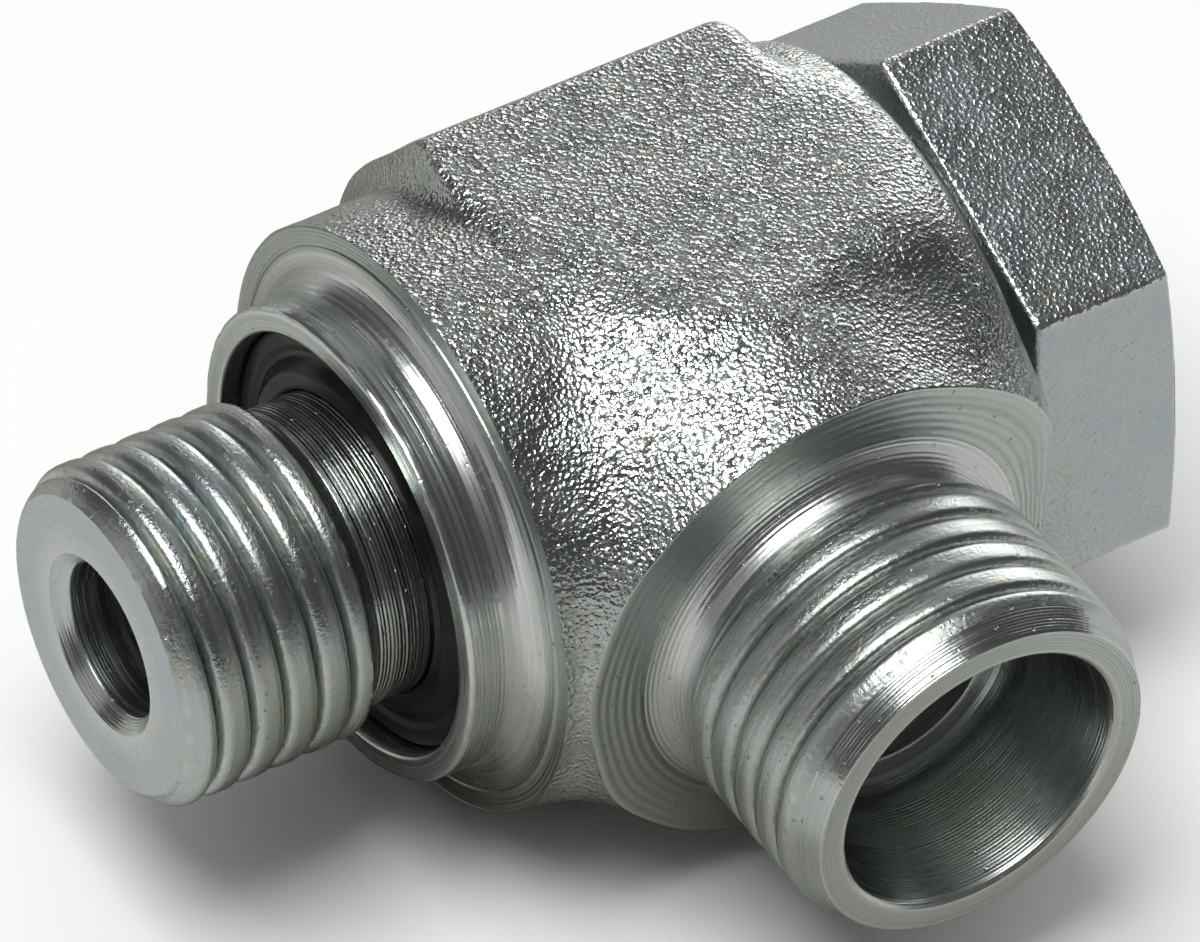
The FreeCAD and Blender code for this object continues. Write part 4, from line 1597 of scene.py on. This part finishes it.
@dataclass
class TubePort:
    """The turned tube port: shoulder, neck, thread and 24 degree cone.

    Attributes:
        forging: The forging's field, which gives the shoulder's outline.
        head_plane: Where the facing under the hex head trims the shoulder.
        neck_radius: Radius of the relief behind the thread.
        neck_end: Where the relief ends.
        root: Radius of the fillet at the shoulder.
        thread_radius: Radius of the thread's crests.
        rim: Distance of the rim from the bolt's axis.
        chamfer: Length of the end chamfer.
        tip_radius: Radius of the rim's outer edge.
        mouth_radius: Radius of the cone at its mouth.
        edge: Size of the cone's edge break.
        seat_radius: Radius that the tube's end fits in.
        cone_foot: Where the cone ends.
        tube_stop: Where the tube's end stands.
        bore_radius: Radius of the passage.
        inner_end: Distance from the bolt's axis of the port's hidden end.
        span: Distances from the port's axis between which the wall lies everywhere.
        wall_rows: Distances from the bolt's axis of the rows up to the shoulder's edge.
        face_share: Rows of the shoulder, from its edge to the root's fillet.
        edge_wear: Wear of the shoulder's edge.
        turned_from: Distance from the bolt's axis where the turned neck starts.
        rim_rows: Rows past the rim's highest that still belong to it.
        columns: Points round the port's axis.
    """

    forging: Forging
    head_plane: float = 9.88
    neck_radius: float = 7.3
    neck_end: float = 14.1
    root: float = 1.3
    thread_radius: float = 8.0
    rim: float = 23.06
    chamfer: float = 1.6
    tip_radius: float = 7.32
    mouth_radius: float = 6.15
    edge: float = 0.15
    seat_radius: float = 5.05
    cone_foot: float = 17.735
    tube_stop: float = 17.055
    bore_radius: float = 4.0
    inner_end: float = 11.6
    span: tuple[float, float] = (8.0, 16.0)
    wall_rows: tuple[float, ...] = (11.6, 11.9, 12.15, 12.35, 12.46, 12.53)
    face_share: tuple[float, ...] = (0.02, 0.06, 0.15, 0.3, 0.45, 0.6, 0.75, 0.88)
    edge_wear: float = 0.5
    turned_from: float = 13.4
    rim_rows: int = 6
    columns: int = 436

    def shoulder_rows(self, angle: np.ndarray) -> np.ndarray:
        """Rows of points that carry the shoulder's edge back onto the forged skin.

        At each distance from the bolt the radius is where a level ray from the port's axis
        leaves the field, held near the boss where the hub is wider, then moved out by the
        relief and trimmed by the plane under the hex head.

        Args:
            angle: The angle of each column.

        Returns:
            Points, rows by columns by 3, the last row being the shoulder's edge.
        """
        along = np.array(self.wall_rows)[:, None]
        start = turned_points(Axis.PORT, along, 0.0, angle).reshape(-1, 3)
        ray = turned_points(Axis.PORT, 0 * along, 1.0, angle).reshape(-1, 3)
        reach = self.forging.reach_from(start, ray, *self.span)
        limit = self.forging.port_radius + 0.35 + (self.forging.shoulder + start[:, 1]) * 0.5
        points = start + ray * np.minimum(reach, limit)[:, None]
        normal = self.forging.normal(points)
        normal[:, 1] = 0.0
        relief = self.forging.relief(points) + 0.006
        points = points + normal * relief[:, None]
        ragged = np.maximum(lattice_noise(points, 0.7, 61), 0.0) * smooth_step(points[:, 2], -1.0, 2.0)
        trim = self.head_plane - 0.12 * smooth_step(points[:, 2], 4.0, 6.5) - 0.22 * ragged
        points[:, 0] = np.minimum(points[:, 0], trim)
        return points.reshape(len(self.wall_rows), -1, 3)

    def build(self, finishes: Finishes) -> bpy.types.Object:
        """Make the tube port.

        The outline goes out along the hidden back, over the shoulder's edge, in to the
        root's fillet, along the neck and the thread to the rim, and back down the cone, the
        seat and the passage. The thread is a depth taken off the outline's radius.

        Args:
            finishes: The fitting's materials.

        Returns:
            The dressed port.
        """
        turn = np.arange(self.columns) / self.columns
        angle = turn * FULL_TURN
        wall = self.shoulder_rows(angle)
        face_in = self.neck_radius + self.root
        edge_x, edge_z = wall[-1, :, 0], wall[-1, :, 2]
        edge_radius = np.hypot(edge_x, edge_z)
        share = np.array(self.face_share)[:, None]
        radius = edge_radius + (face_in - edge_radius) * share
        across, up = radius * (edge_x / edge_radius), radius * (edge_z / edge_radius)
        face = np.stack([across, -self.forging.shoulder + 0 * radius, up], axis=2)
        outer = Outline.through([
            (self.forging.shoulder, face_in + 0.02),
            (self.forging.shoulder, self.neck_radius, self.root),
            (self.neck_end, self.neck_radius, 0.3),
            (self.neck_end + 0.35, self.thread_radius - 0.35, 0.2),
            (self.neck_end + 0.55, self.thread_radius, 0.1),
            (self.rim - self.chamfer, self.thread_radius, 0.2),
            (self.rim, self.tip_radius, 0.08),
            (self.rim, self.mouth_radius + self.edge, 0.05),
            (self.rim - self.edge, self.mouth_radius, 0.05),
            (self.cone_foot, self.seat_radius),
            (self.tube_stop, self.seat_radius),
            (self.tube_stop, self.bore_radius, 0.08),
            (12.0, self.bore_radius),
        ], 0.055)
        outer = self._thinned(outer)
        thread = Thread(
            pitch=1.5, depth=0.64, roundness=6.0, start=self.neck_end + 0.2,
            end=self.rim - self.chamfer + 0.5, fade=0.7, shift=0.27, hand=-1.0)
        begin = int(np.argmax(outer.along > self.neck_end - 0.2))
        finish = int(np.argmax(outer.along > thread.end))
        rows = TurnedRows.plain(outer.kept(slice(begin + 1)), turn)
        threaded = TurnedRows.threaded(outer.kept(slice(begin, finish + 1)), thread, turn, Axis.PORT)
        rows = rows.join(threaded).join(TurnedRows.plain(outer.kept(slice(finish, None)), turn))
        hidden = Outline.through([(self.inner_end, self.bore_radius), (self.inner_end, 9.0)], 2.0)
        lead = np.concatenate([hidden.swept(Axis.PORT, angle), wall, face])
        points = np.concatenate([lead, turned_points(Axis.PORT, rows.along, rows.radius, angle)])
        lead_wear = np.zeros(lead.shape[:2])
        lead_wear[-len(face):] = self.edge_wear * np.exp(-((share / 0.05) ** 2))
        wear = np.concatenate([lead_wear, rows.wear])
        first = len(lead)
        lead_run = Outline.first_column(points[:first + 1], Axis.PORT).run()
        run = np.concatenate([level(lead_run[:first], self.columns), rows.run + lead_run[first]])
        seam = np.concatenate([np.arange(first), rows.seam + first])
        thread_from = first + begin + 1
        thread_to = thread_from + len(threaded.along)
        rim_to = first + int(np.argmax(rows.along[:, 0])) + self.rim_rows
        slots = np.full(len(points), BodySkin.FACED)
        slots[:first - len(face) - 1] = BodySkin.FORGED
        slots[first + int(np.argmax(outer.along > self.turned_from)):] = BodySkin.TURNED
        slots[thread_from:thread_to] = BodySkin.THREADED
        slots[thread_to:rim_to] = BodySkin.RIMMED
        slots[rim_to:] = BodySkin.BORED
        sheet = Sheet(points, run, turn, wear, slots, closed=True, seam=seam)
        return sheet.to_object("tube_port", [
            finishes.forged, finishes.faced, finishes.turned, finishes.bored, finishes.threaded,
            finishes.rimmed])

    @staticmethod
    def _thinned(outline: Outline) -> Outline:
        """Keep every point up to the rim, and each sixth one along the plain cone and bore.

        Args:
            outline: The outline with closely spaced points.

        Returns:
            The outline with fewer points.
        """
        index = np.arange(len(outline.along))
        past = index > np.argmax(outline.along) + 8
        plain = past & (outline.wear == 0)
        return outline.kept(~plain | (index % 6 == 0) | (index == len(index) - 1))


@dataclass
class BanjoBolt:
    """The hollow bolt: threaded stud, neck, shank with its waist, and hex head.

    Attributes:
        stud_end: Where the stud's end face is.
        stud_radius: Radius of the thread's crests.
        chamfer: Size of the stud's end chamfer.
        thread_end: Where the thread stops at the neck.
        neck_radius: Radius of the relieved neck.
        shank_start: Where the bearing shank starts.
        shank_radius: Radius of the shank.
        waist_radius: Radius of the waist.
        waist_half: Half the length of the waist.
        seat: Where the washer face is.
        washer_radius: Radius of the washer face.
        head_start: Where the hexagon starts.
        head_end: Where the hexagon ends.
        across: Width across the flats.
        corner_turn: Angle of the first corner, in degrees.
        corner_rounding: Radius of the worn corners.
        chamfer_radius: Where the end chamfer starts.
        chamfer_angle: The end chamfer's angle, in degrees.
        bore_radius: Radius of the bore.
        bore_mouth: Radius of the countersink.
        bore_end: Where the bore's full width ends.
        cross_radius: Radius of the cross holes.
        groove_start: Where the neck's fine grooves start.
        groove_end: Where they end at the thread.
        groove_feed: Spacing of those grooves.
        groove_depth: Half their depth.
        edge_set_back: Least distance of the end face's outer edge from its plane.
        face_rings: Rows of the end face, from its middle to its edge.
        lip_back: How far behind the end face's edge the four rows of the lip are.
        lip_wear: Wear of the first three of those rows.
        side_rows: Shares of the hexagon's height between which its plain rows lie, and
            how many there are.
        bevel_rows: Rows of its back edge, each its distance in from the hexagon and its
            distance from the back plane.
        bevel_wear: Wear of all but the first of those rows.
        corner_wear: Angle from a corner, in radians, where its wear has run out.
        corner_columns: Degrees from each corner where further columns lie.
        even_columns: How many columns are evenly spaced.
    """

    stud_end: float = -25.5
    stud_radius: float = 7.0
    chamfer: float = 0.8
    thread_end: float = -17.4
    neck_radius: float = 6.2
    shank_start: float = -9.4
    shank_radius: float = 7.2
    waist_radius: float = 5.5
    waist_half: float = 4.7
    seat: float = 9.93
    washer_radius: float = 10.2
    head_start: float = 10.7
    head_end: float = 17.1
    across: float = 21.7
    corner_turn: float = 21.9
    corner_rounding: float = 0.32
    chamfer_radius: float = 11.0
    chamfer_angle: float = 12.0
    bore_radius: float = 3.2
    bore_mouth: float = 3.8
    bore_end: float = 5.0
    cross_radius: float = 2.1
    groove_start: float = -14.1
    groove_end: float = -16.65
    groove_feed: float = 0.168
    groove_depth: float = 0.011
    edge_set_back: float = 0.03
    face_rings: tuple[float, ...] = (0.0, 0.25, 0.5, 0.75, 0.95)
    lip_back: tuple[float, ...] = (0.0, 0.0, 0.04, 0.12)
    lip_wear: tuple[float, ...] = (0.5, 1.0, 0.7)
    side_rows: tuple[float, float, int] = (0.08, 0.955, 10)
    bevel_rows: tuple[tuple[float, float], ...] = (
        (0.0, 0.16), (0.02, 0.1), (0.07, 0.05), (0.13, 0.015), (0.2, 0.0))
    bevel_wear: tuple[float, ...] = (1.0, 1.0, 1.0, 0.4)
    corner_wear: float = 0.012
    corner_columns: tuple[float, ...] = (-1.1, -0.75, -0.45, -0.2, 0.0, 0.2, 0.45, 0.75, 1.1)
    even_columns: int = 294

    def columns(self) -> np.ndarray:
        """Shares of a turn: evenly spaced, with more at the hexagon's corners.

        Returns:
            The shares in order, without near doubles.
        """
        even = np.arange(self.even_columns) / self.even_columns
        corners = self.corner_turn / 360.0 + np.arange(6)[:, None] / 6.0
        extra = corners + np.array(self.corner_columns)[None, :] / 360.0
        both = np.sort(np.concatenate([even, extra.ravel() % 1.0]))
        gaps = np.diff(np.append(both, both[0] + 1.0))
        return both[gaps > 0.00009]

    def from_corner(self, angle: np.ndarray) -> np.ndarray:
        """Angles from the hexagon's nearest corner, from minus to plus half a sixth of a turn."""
        sixth = FULL_TURN / 6.0
        return (angle - math.radians(self.corner_turn) + sixth / 2.0) % sixth - sixth / 2.0

    def hexagon(self, angle: np.ndarray) -> np.ndarray:
        """Radius of the hexagon's outline at each angle.

        On a flat it is half the width over the cosine of the angle from the flat's middle.
        Near a corner it is where the ray leaves an arc of the corner's rounding.

        Args:
            angle: The angles.

        Returns:
            The radii.
        """
        half = FULL_TURN / 12.0
        away = self.from_corner(angle)
        flat = self.across / 2.0 / np.cos(half - np.abs(away))
        centre = (self.across / 2.0 - self.corner_rounding) / math.cos(half)
        reach = np.sqrt(np.maximum(self.corner_rounding ** 2 - (centre * np.sin(away)) ** 2, 0.0))
        arc = centre * np.cos(away) + reach
        touch = math.atan2(
            self.corner_rounding * math.sin(half), centre + self.corner_rounding * math.cos(half))
        return np.where(np.abs(away) < touch, arc, flat)

    def head_rows(self, angle: np.ndarray) -> tuple[np.ndarray, np.ndarray, np.ndarray]:
        """The head's rows from the middle of its end face to the back of the hexagon.

        The end face runs out to the lesser of the chamfer's radius and the hexagon. The
        next row lies on the hexagon, set back by the chamfer's slope where it is wider.

        Args:
            angle: The angle of each column.

        Returns:
            Distances along the bolt, radii and wear, each rows by columns.
        """
        hexagon = self.hexagon(angle)
        inner = np.minimum(hexagon, self.chamfer_radius)
        slope = math.tan(math.radians(self.chamfer_angle))
        drop = np.maximum(hexagon - self.chamfer_radius, 0.0) * slope
        set_back = np.maximum(drop, self.edge_set_back)
        face = inner * np.array(self.face_rings)[:, None]
        lip = np.stack([inner, hexagon - 0.02, hexagon, hexagon])
        lip_back = np.array(self.lip_back)[:, None]
        lip_along = self.head_end - np.stack([0 * drop, set_back, set_back, set_back]) - lip_back
        side = np.linspace(*self.side_rows)[:, None]
        side_along = lip_along[-1] + (self.head_start - lip_along[-1]) * side
        inwards, before = np.array(self.bevel_rows).T
        bevel = hexagon - inwards[:, None]
        bevel_along = level(self.head_start + before, len(angle))
        radius = np.concatenate([face, lip, hexagon + 0 * side, bevel])
        along = np.concatenate([self.head_end + 0 * face, lip_along, side_along, bevel_along])
        near = np.exp(-(self.from_corner(angle) / self.corner_wear) ** 2)
        wear = np.concatenate([
            0 * face, level(self.lip_wear, len(angle)),
            np.broadcast_to(near, (len(side) + 2, len(angle))), level(self.bevel_wear, len(angle))])
        return along, radius, wear

    def build(self, finishes: Finishes) -> bpy.types.Object:
        """Make the bolt.

        The outline goes from the middle of the head's face over the hexagon, the washer
        face, the shank and the neck, along the thread to the stud's end and back up the
        bore to the drill's point. The thread is a depth taken off the outline's radius.

        Args:
            finishes: The fitting's materials.

        Returns:
            The dressed bolt.
        """
        turn = self.columns()
        angle = turn * FULL_TURN
        head_along, head_radius, head_wear = self.head_rows(angle)
        shank = Outline.through([
            (self.head_start, self.washer_radius + 0.2),
            (self.head_start, self.washer_radius, 0.1),
            (self.seat, self.washer_radius, 0.25),
            (self.seat, self.shank_radius, 0.1),
            (self.waist_half, self.shank_radius, 0.1),
            (self.waist_half - 1.0, self.waist_radius, 0.3),
            (1.0 - self.waist_half, self.waist_radius, 0.3),
            (-self.waist_half, self.shank_radius, 0.1),
            (self.shank_start + 0.5, self.shank_radius, 0.1),
            (self.shank_start, self.shank_radius - 0.5, 0.1),
            (self.shank_start, self.neck_radius, 0.1),
            (self.groove_start, self.neck_radius),
        ], 1.2)
        neck = Outline.through([
            (self.groove_start, self.neck_radius), (self.groove_end, self.neck_radius)], 0.048)
        line = np.stack([neck.along, 0 * neck.along, 0 * neck.along], axis=1)
        grooves = np.cos(FULL_TURN * neck.along / self.groove_feed) + 0.7 * lattice_noise(line, 0.13, 91)
        neck.radius = neck.radius - 0.012 + self.groove_depth * grooves
        stud = Outline.through([
            (self.groove_end, self.neck_radius),
            (self.thread_end, self.stud_radius, 0.15),
            (self.stud_end + self.chamfer, self.stud_radius, 0.3),
            (self.stud_end, self.stud_radius - self.chamfer, 0.12),
        ], 0.062)
        bore = Outline.through([
            (self.stud_end, self.stud_radius - self.chamfer - 0.12),
            (self.stud_end, self.bore_mouth, 0.12),
            (self.stud_end + 0.6, self.bore_radius, 0.1),
            (self.bore_end, self.bore_radius, 0.05),
            (self.bore_end + self.bore_radius / math.tan(math.radians(59.0)), 0.0),
        ], 1.6)
        thread = Thread(
            pitch=1.5, depth=0.66, roundness=4.6, start=self.stud_end - 0.3, end=self.thread_end + 0.5,
            fade=0.75, shift=0.1, hand=1.0)
        steps = np.hypot(np.diff(head_along, axis=0), np.diff(head_radius, axis=0))
        head_run = np.concatenate([0 * steps[:1], steps.cumsum(axis=0)])
        head = len(head_along)
        rows = TurnedRows(head_along, head_radius, head_wear, head_run, np.arange(head))
        rows = rows.join(TurnedRows.plain(shank.join(neck), turn, 0.6))
        thread_from = len(rows.along)
        rows = rows.join(TurnedRows.threaded(stud, thread, turn, Axis.BOLT))
        end_face = len(rows.along)
        rows = rows.join(TurnedRows.plain(bore, turn, 0.6))
        points = turned_points(Axis.BOLT, rows.along, rows.radius, angle)
        slots = np.full(len(points) - 1, BoltSkin.TURNED)
        slots[:head] = BoltSkin.DRAWN
        slots[head + len(shank.along):thread_from] = BoltSkin.NECKED
        slots[thread_from:end_face - 1] = BoltSkin.THREADED
        slots[end_face - 1:end_face + 2] = BoltSkin.DRAWN
        slots[end_face + 4:] = BoltSkin.BORED
        sheet = Sheet(points, rows.run, turn, rows.wear, slots, seam=rows.seam)
        piece = sheet.to_object("banjo_bolt_dressed", [
            finishes.turned, finishes.drawn, finishes.necked, finishes.bored, finishes.threaded])
        cut_away(piece, [
            Drill(Axis.PORT, -9.0, 9.0, self.cross_radius).cutter("level_drill"),
            Drill(Axis.PORT, -9.0, 9.0, self.cross_radius, tilt=90.0).cutter("upright_drill"),
        ])
        return piece


@dataclass
class Seals:
    """The stud's profile ring and the head's O-ring.

    Attributes:
        inner: Inner radius of the profile ring.
        outer: Outer radius of the profile ring.
        back: Where the profile ring's back is.
        lip: Where its outer lip's front is.
        bead: Where its inner bead's front is.
        ring_middle: Radius of the O-ring's middle line.
        ring_place: Where the O-ring lies along the bolt.
        ring_half: Radius of the O-ring's section.
        mould_seam: Height of the mould's seam on the O-ring.
        waviness: Height of the moulded waviness.
        columns: Points round the bolt's axis.
    """

    inner: float = 6.24
    outer: float = 8.76
    back: float = -10.34
    lip: float = -13.9
    bead: float = -14.3
    ring_middle: float = 8.2
    ring_place: float = 8.9
    ring_half: float = 0.96
    mould_seam: float = 0.03
    waviness: float = 0.012
    columns: int = 240

    def build_profile_ring(self, finishes: Finishes) -> bpy.types.Object:
        """Make the profile ring: an outer lip, a shallow trough and a rounded inner bead.

        Args:
            finishes: The fitting's materials.

        Returns:
            The dressed ring.
        """
        outline = Outline.through([
            (self.back, self.inner + 0.6),
            (self.back, self.outer, 0.3),
            (self.lip, self.outer, 0.28),
            (self.lip, self.outer - 0.75, 0.3),
            (self.lip + 0.22, self.inner + 1.35, 0.3),
            (self.bead, self.inner + 0.75, 0.3),
            (self.bead, self.inner, 0.22),
            (self.back, self.inner, 0.3),
            (self.back, self.inner + 0.5),
        ], 0.35)
        return self._ring("stud_profile_ring", outline, finishes)

    def build_head_ring(self, finishes: Finishes) -> bpy.types.Object:
        """Make the O-ring, a circle with the mould's thin seam on its outer and inner side.

        Args:
            finishes: The fitting's materials.

        Returns:
            The dressed ring.
        """
        around = np.arange(48) / 48.0 * FULL_TURN
        seam = self.mould_seam * np.exp(-((np.sin(around) / 0.09) ** 2))
        radius = self.ring_half - 0.035 + seam
        along = self.ring_place + radius * np.sin(around)
        outline = Outline(along, self.ring_middle + radius * np.cos(around), 0 * around)
        return self._ring("head_o_ring", outline, finishes)

    def _ring(self, name: str, outline: Outline, finishes: Finishes) -> bpy.types.Object:
        """Turn a closed outline about the bolt, with a faint moulded waviness.

        Args:
            name: The ring's name.
            outline: The section's outline.
            finishes: The fitting's materials.

        Returns:
            The dressed ring.
        """
        turn = np.arange(self.columns) / self.columns
        points = outline.swept(Axis.BOLT, turn * FULL_TURN)
        wave = lattice_noise(points.reshape(-1, 3), 1.7, 131)
        points[:, :, 0] += self.waviness * wave.reshape(points.shape[:2])
        return Sheet(points, outline.run(), turn, closed=True).to_object(name, [finishes.rubber])


# Studio

@dataclass(frozen=True)
class PhotoCamera:
    """The camera that took the photograph, fitted to the fitting's circles and corners.

    Attributes:
        right: The picture's right in the part's frame.
        down: The picture's down.
        ahead: The view's direction.
        place: The camera's place in millimetres.
        focal: Focal length in pixels of the 1200 by 942 picture.
        centre: The view axis's pixel.
        size: The picture's size in pixels.
    """

    right: tuple[float, float, float] = (0.84376833, -0.53490034, 0.0440072)
    down: tuple[float, float, float] = (-0.35264112, -0.61433897, -0.70585542)
    ahead: tuple[float, float, float] = (0.40459764, 0.5800597, -0.70698762)
    place: tuple[float, float, float] = (-227.58, -322.92, 391.98)
    focal: float = 14216.98
    centre: tuple[float, float] = (605.44, 462.07)
    size: tuple[int, int] = (1200, 942)

    def build(self) -> bpy.types.Object:
        """Make the camera and give it to the scene.

        Returns:
            The camera object.
        """
        data = bpy.data.cameras.new("photo_camera")
        data.sensor_width = SENSOR_WIDTH
        data.lens = self.focal / self.size[0] * SENSOR_WIDTH
        data.shift_x = (self.size[0] / 2.0 - self.centre[0]) / self.size[0]
        data.shift_y = (self.centre[1] - self.size[1] / 2.0) / self.size[0]
        data.clip_start, data.clip_end = CLIP
        camera = bpy.data.objects.new("photo_camera", data)
        turn = Matrix((self.right, -Vector(self.down), -Vector(self.ahead))).transposed()
        camera.matrix_world = Matrix.Translation(Vector(self.place) * MM) @ turn.to_4x4()
        bpy.context.scene.collection.objects.link(camera)
        bpy.context.scene.camera = camera
        return camera


@dataclass(frozen=True)
class SoftLight:
    """An area light that faces the fitting.

    Attributes:
        name: The light's name.
        direction: Where it stands, as a direction from the fitting.
        distance: How far away it is, in metres.
        size: Its width and height, in metres.
        glow: Its brightness as seen, in watts to a square metre and steradian.
        colour: Its colour.
        mirrored: Whether bright metal shows it.
    """

    name: str
    direction: tuple[float, float, float]
    distance: float
    size: tuple[float, float]
    glow: float
    colour: tuple[float, float, float] = (1.0, 1.0, 1.0)
    mirrored: bool = True

    def build(self) -> None:
        """Make the light, with power found from its brightness and area."""
        data = bpy.data.lights.new(self.name, "AREA")
        data.shape = "RECTANGLE"
        data.size, data.size_y = self.size
        data.energy = self.glow * self.size[0] * self.size[1] * math.pi
        data.color = self.colour
        light = bpy.data.objects.new(self.name, data)
        away = Vector(self.direction).normalized()
        light.location = away * self.distance
        light.rotation_euler = away.to_track_quat("Z", "Y").to_euler()
        light.visible_glossy = self.mirrored
        bpy.context.scene.collection.objects.link(light)


@dataclass(frozen=True)
class Studio:
    """The floor, the lights and the surroundings.

    Attributes:
        floor_level: Height of the floor under the fitting, in millimetres.
        floor_size: Width of the floor in metres.
        surround: Colour of the dim surroundings.
    """

    floor_level: float = -12.52
    floor_size: float = 6.0
    surround: tuple[float, float, float] = (0.07, 0.07, 0.073)

    def build(self) -> None:
        """Make the floor, the lights and the world."""
        half = self.floor_size / 2.0
        signs = ((-1, -1), (1, -1), (1, 1), (-1, 1))
        corners = [(x * half, y * half, self.floor_level * MM) for x, y in signs]
        mesh = bpy.data.meshes.new("floor")
        mesh.from_pydata(corners, [], [(0, 1, 2, 3)])
        mesh.materials.append(PaleFloor().build())
        floor = bpy.data.objects.new("floor", mesh)
        bpy.context.scene.collection.objects.link(floor)
        world = bpy.data.worlds.new("surround")
        world.use_nodes = True
        world.node_tree.nodes["Background"].inputs["Color"].default_value = (*self.surround, 1.0)
        bpy.context.scene.world = world
        for light in (
            SoftLight("key", (-0.27, -0.03, 0.96), 0.8, (0.46, 0.46), 7.1, (0.98, 1.0, 0.985)),
            SoftLight("rear_card", (0.62, 0.55, 0.55), 0.9, (0.9, 0.6), 0.32),
            SoftLight("left_card", (-0.95, 0.3, 0.4), 0.8, (0.5, 0.3), 0.45),
            SoftLight("backdrop", (0.743, 0.66, 0.2), 1.3, (0.85, 0.42), 3.9),
            SoftLight("wash", (0.1, 0.1, 1.0), 1.2, (2.6, 2.6), 0.5, mirrored=False),
        ):
            light.build()
        bpy.context.scene.view_settings.view_transform = "Standard"


def dress(piece: bpy.types.Object, body: Body, node: str) -> None:
    """Give a finished piece its body and the CAD node it stands for.

    Args:
        piece: The finished piece.
        body: The body it rides on.
        node: The CAD node it replaces.
    """
    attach(piece, body.value)
    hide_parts(node)
    triangles = sum(len(face.vertices) - 2 for face in piece.data.polygons)
    LOG.info("%s rides on %s, %d triangles", piece.name, body.value, triangles)


def main() -> None:
    """Build the fitting's sub-assemblies, then the studio, and report each piece."""
    logging.basicConfig(level=logging.INFO, format="%(name)s: %(message)s")
    PhotoCamera().build()
    finishes = Finishes()
    forging = Forging()
    dress(ForgedBody(forging).build(finishes), Body.BODY, "banjo_body")
    dress(TubePort(forging).build(finishes), Body.BODY, "banjo_body")
    dress(BanjoBolt().build(finishes), Body.BOLT, "banjo_bolt")
    seals = Seals()
    dress(seals.build_profile_ring(finishes), Body.BODY, "stud_seal")
    dress(seals.build_head_ring(finishes), Body.BODY, "head_seal")
    Studio().build()
    bpy.context.view_layer.update()


if __name__ == "__main__":
    main()
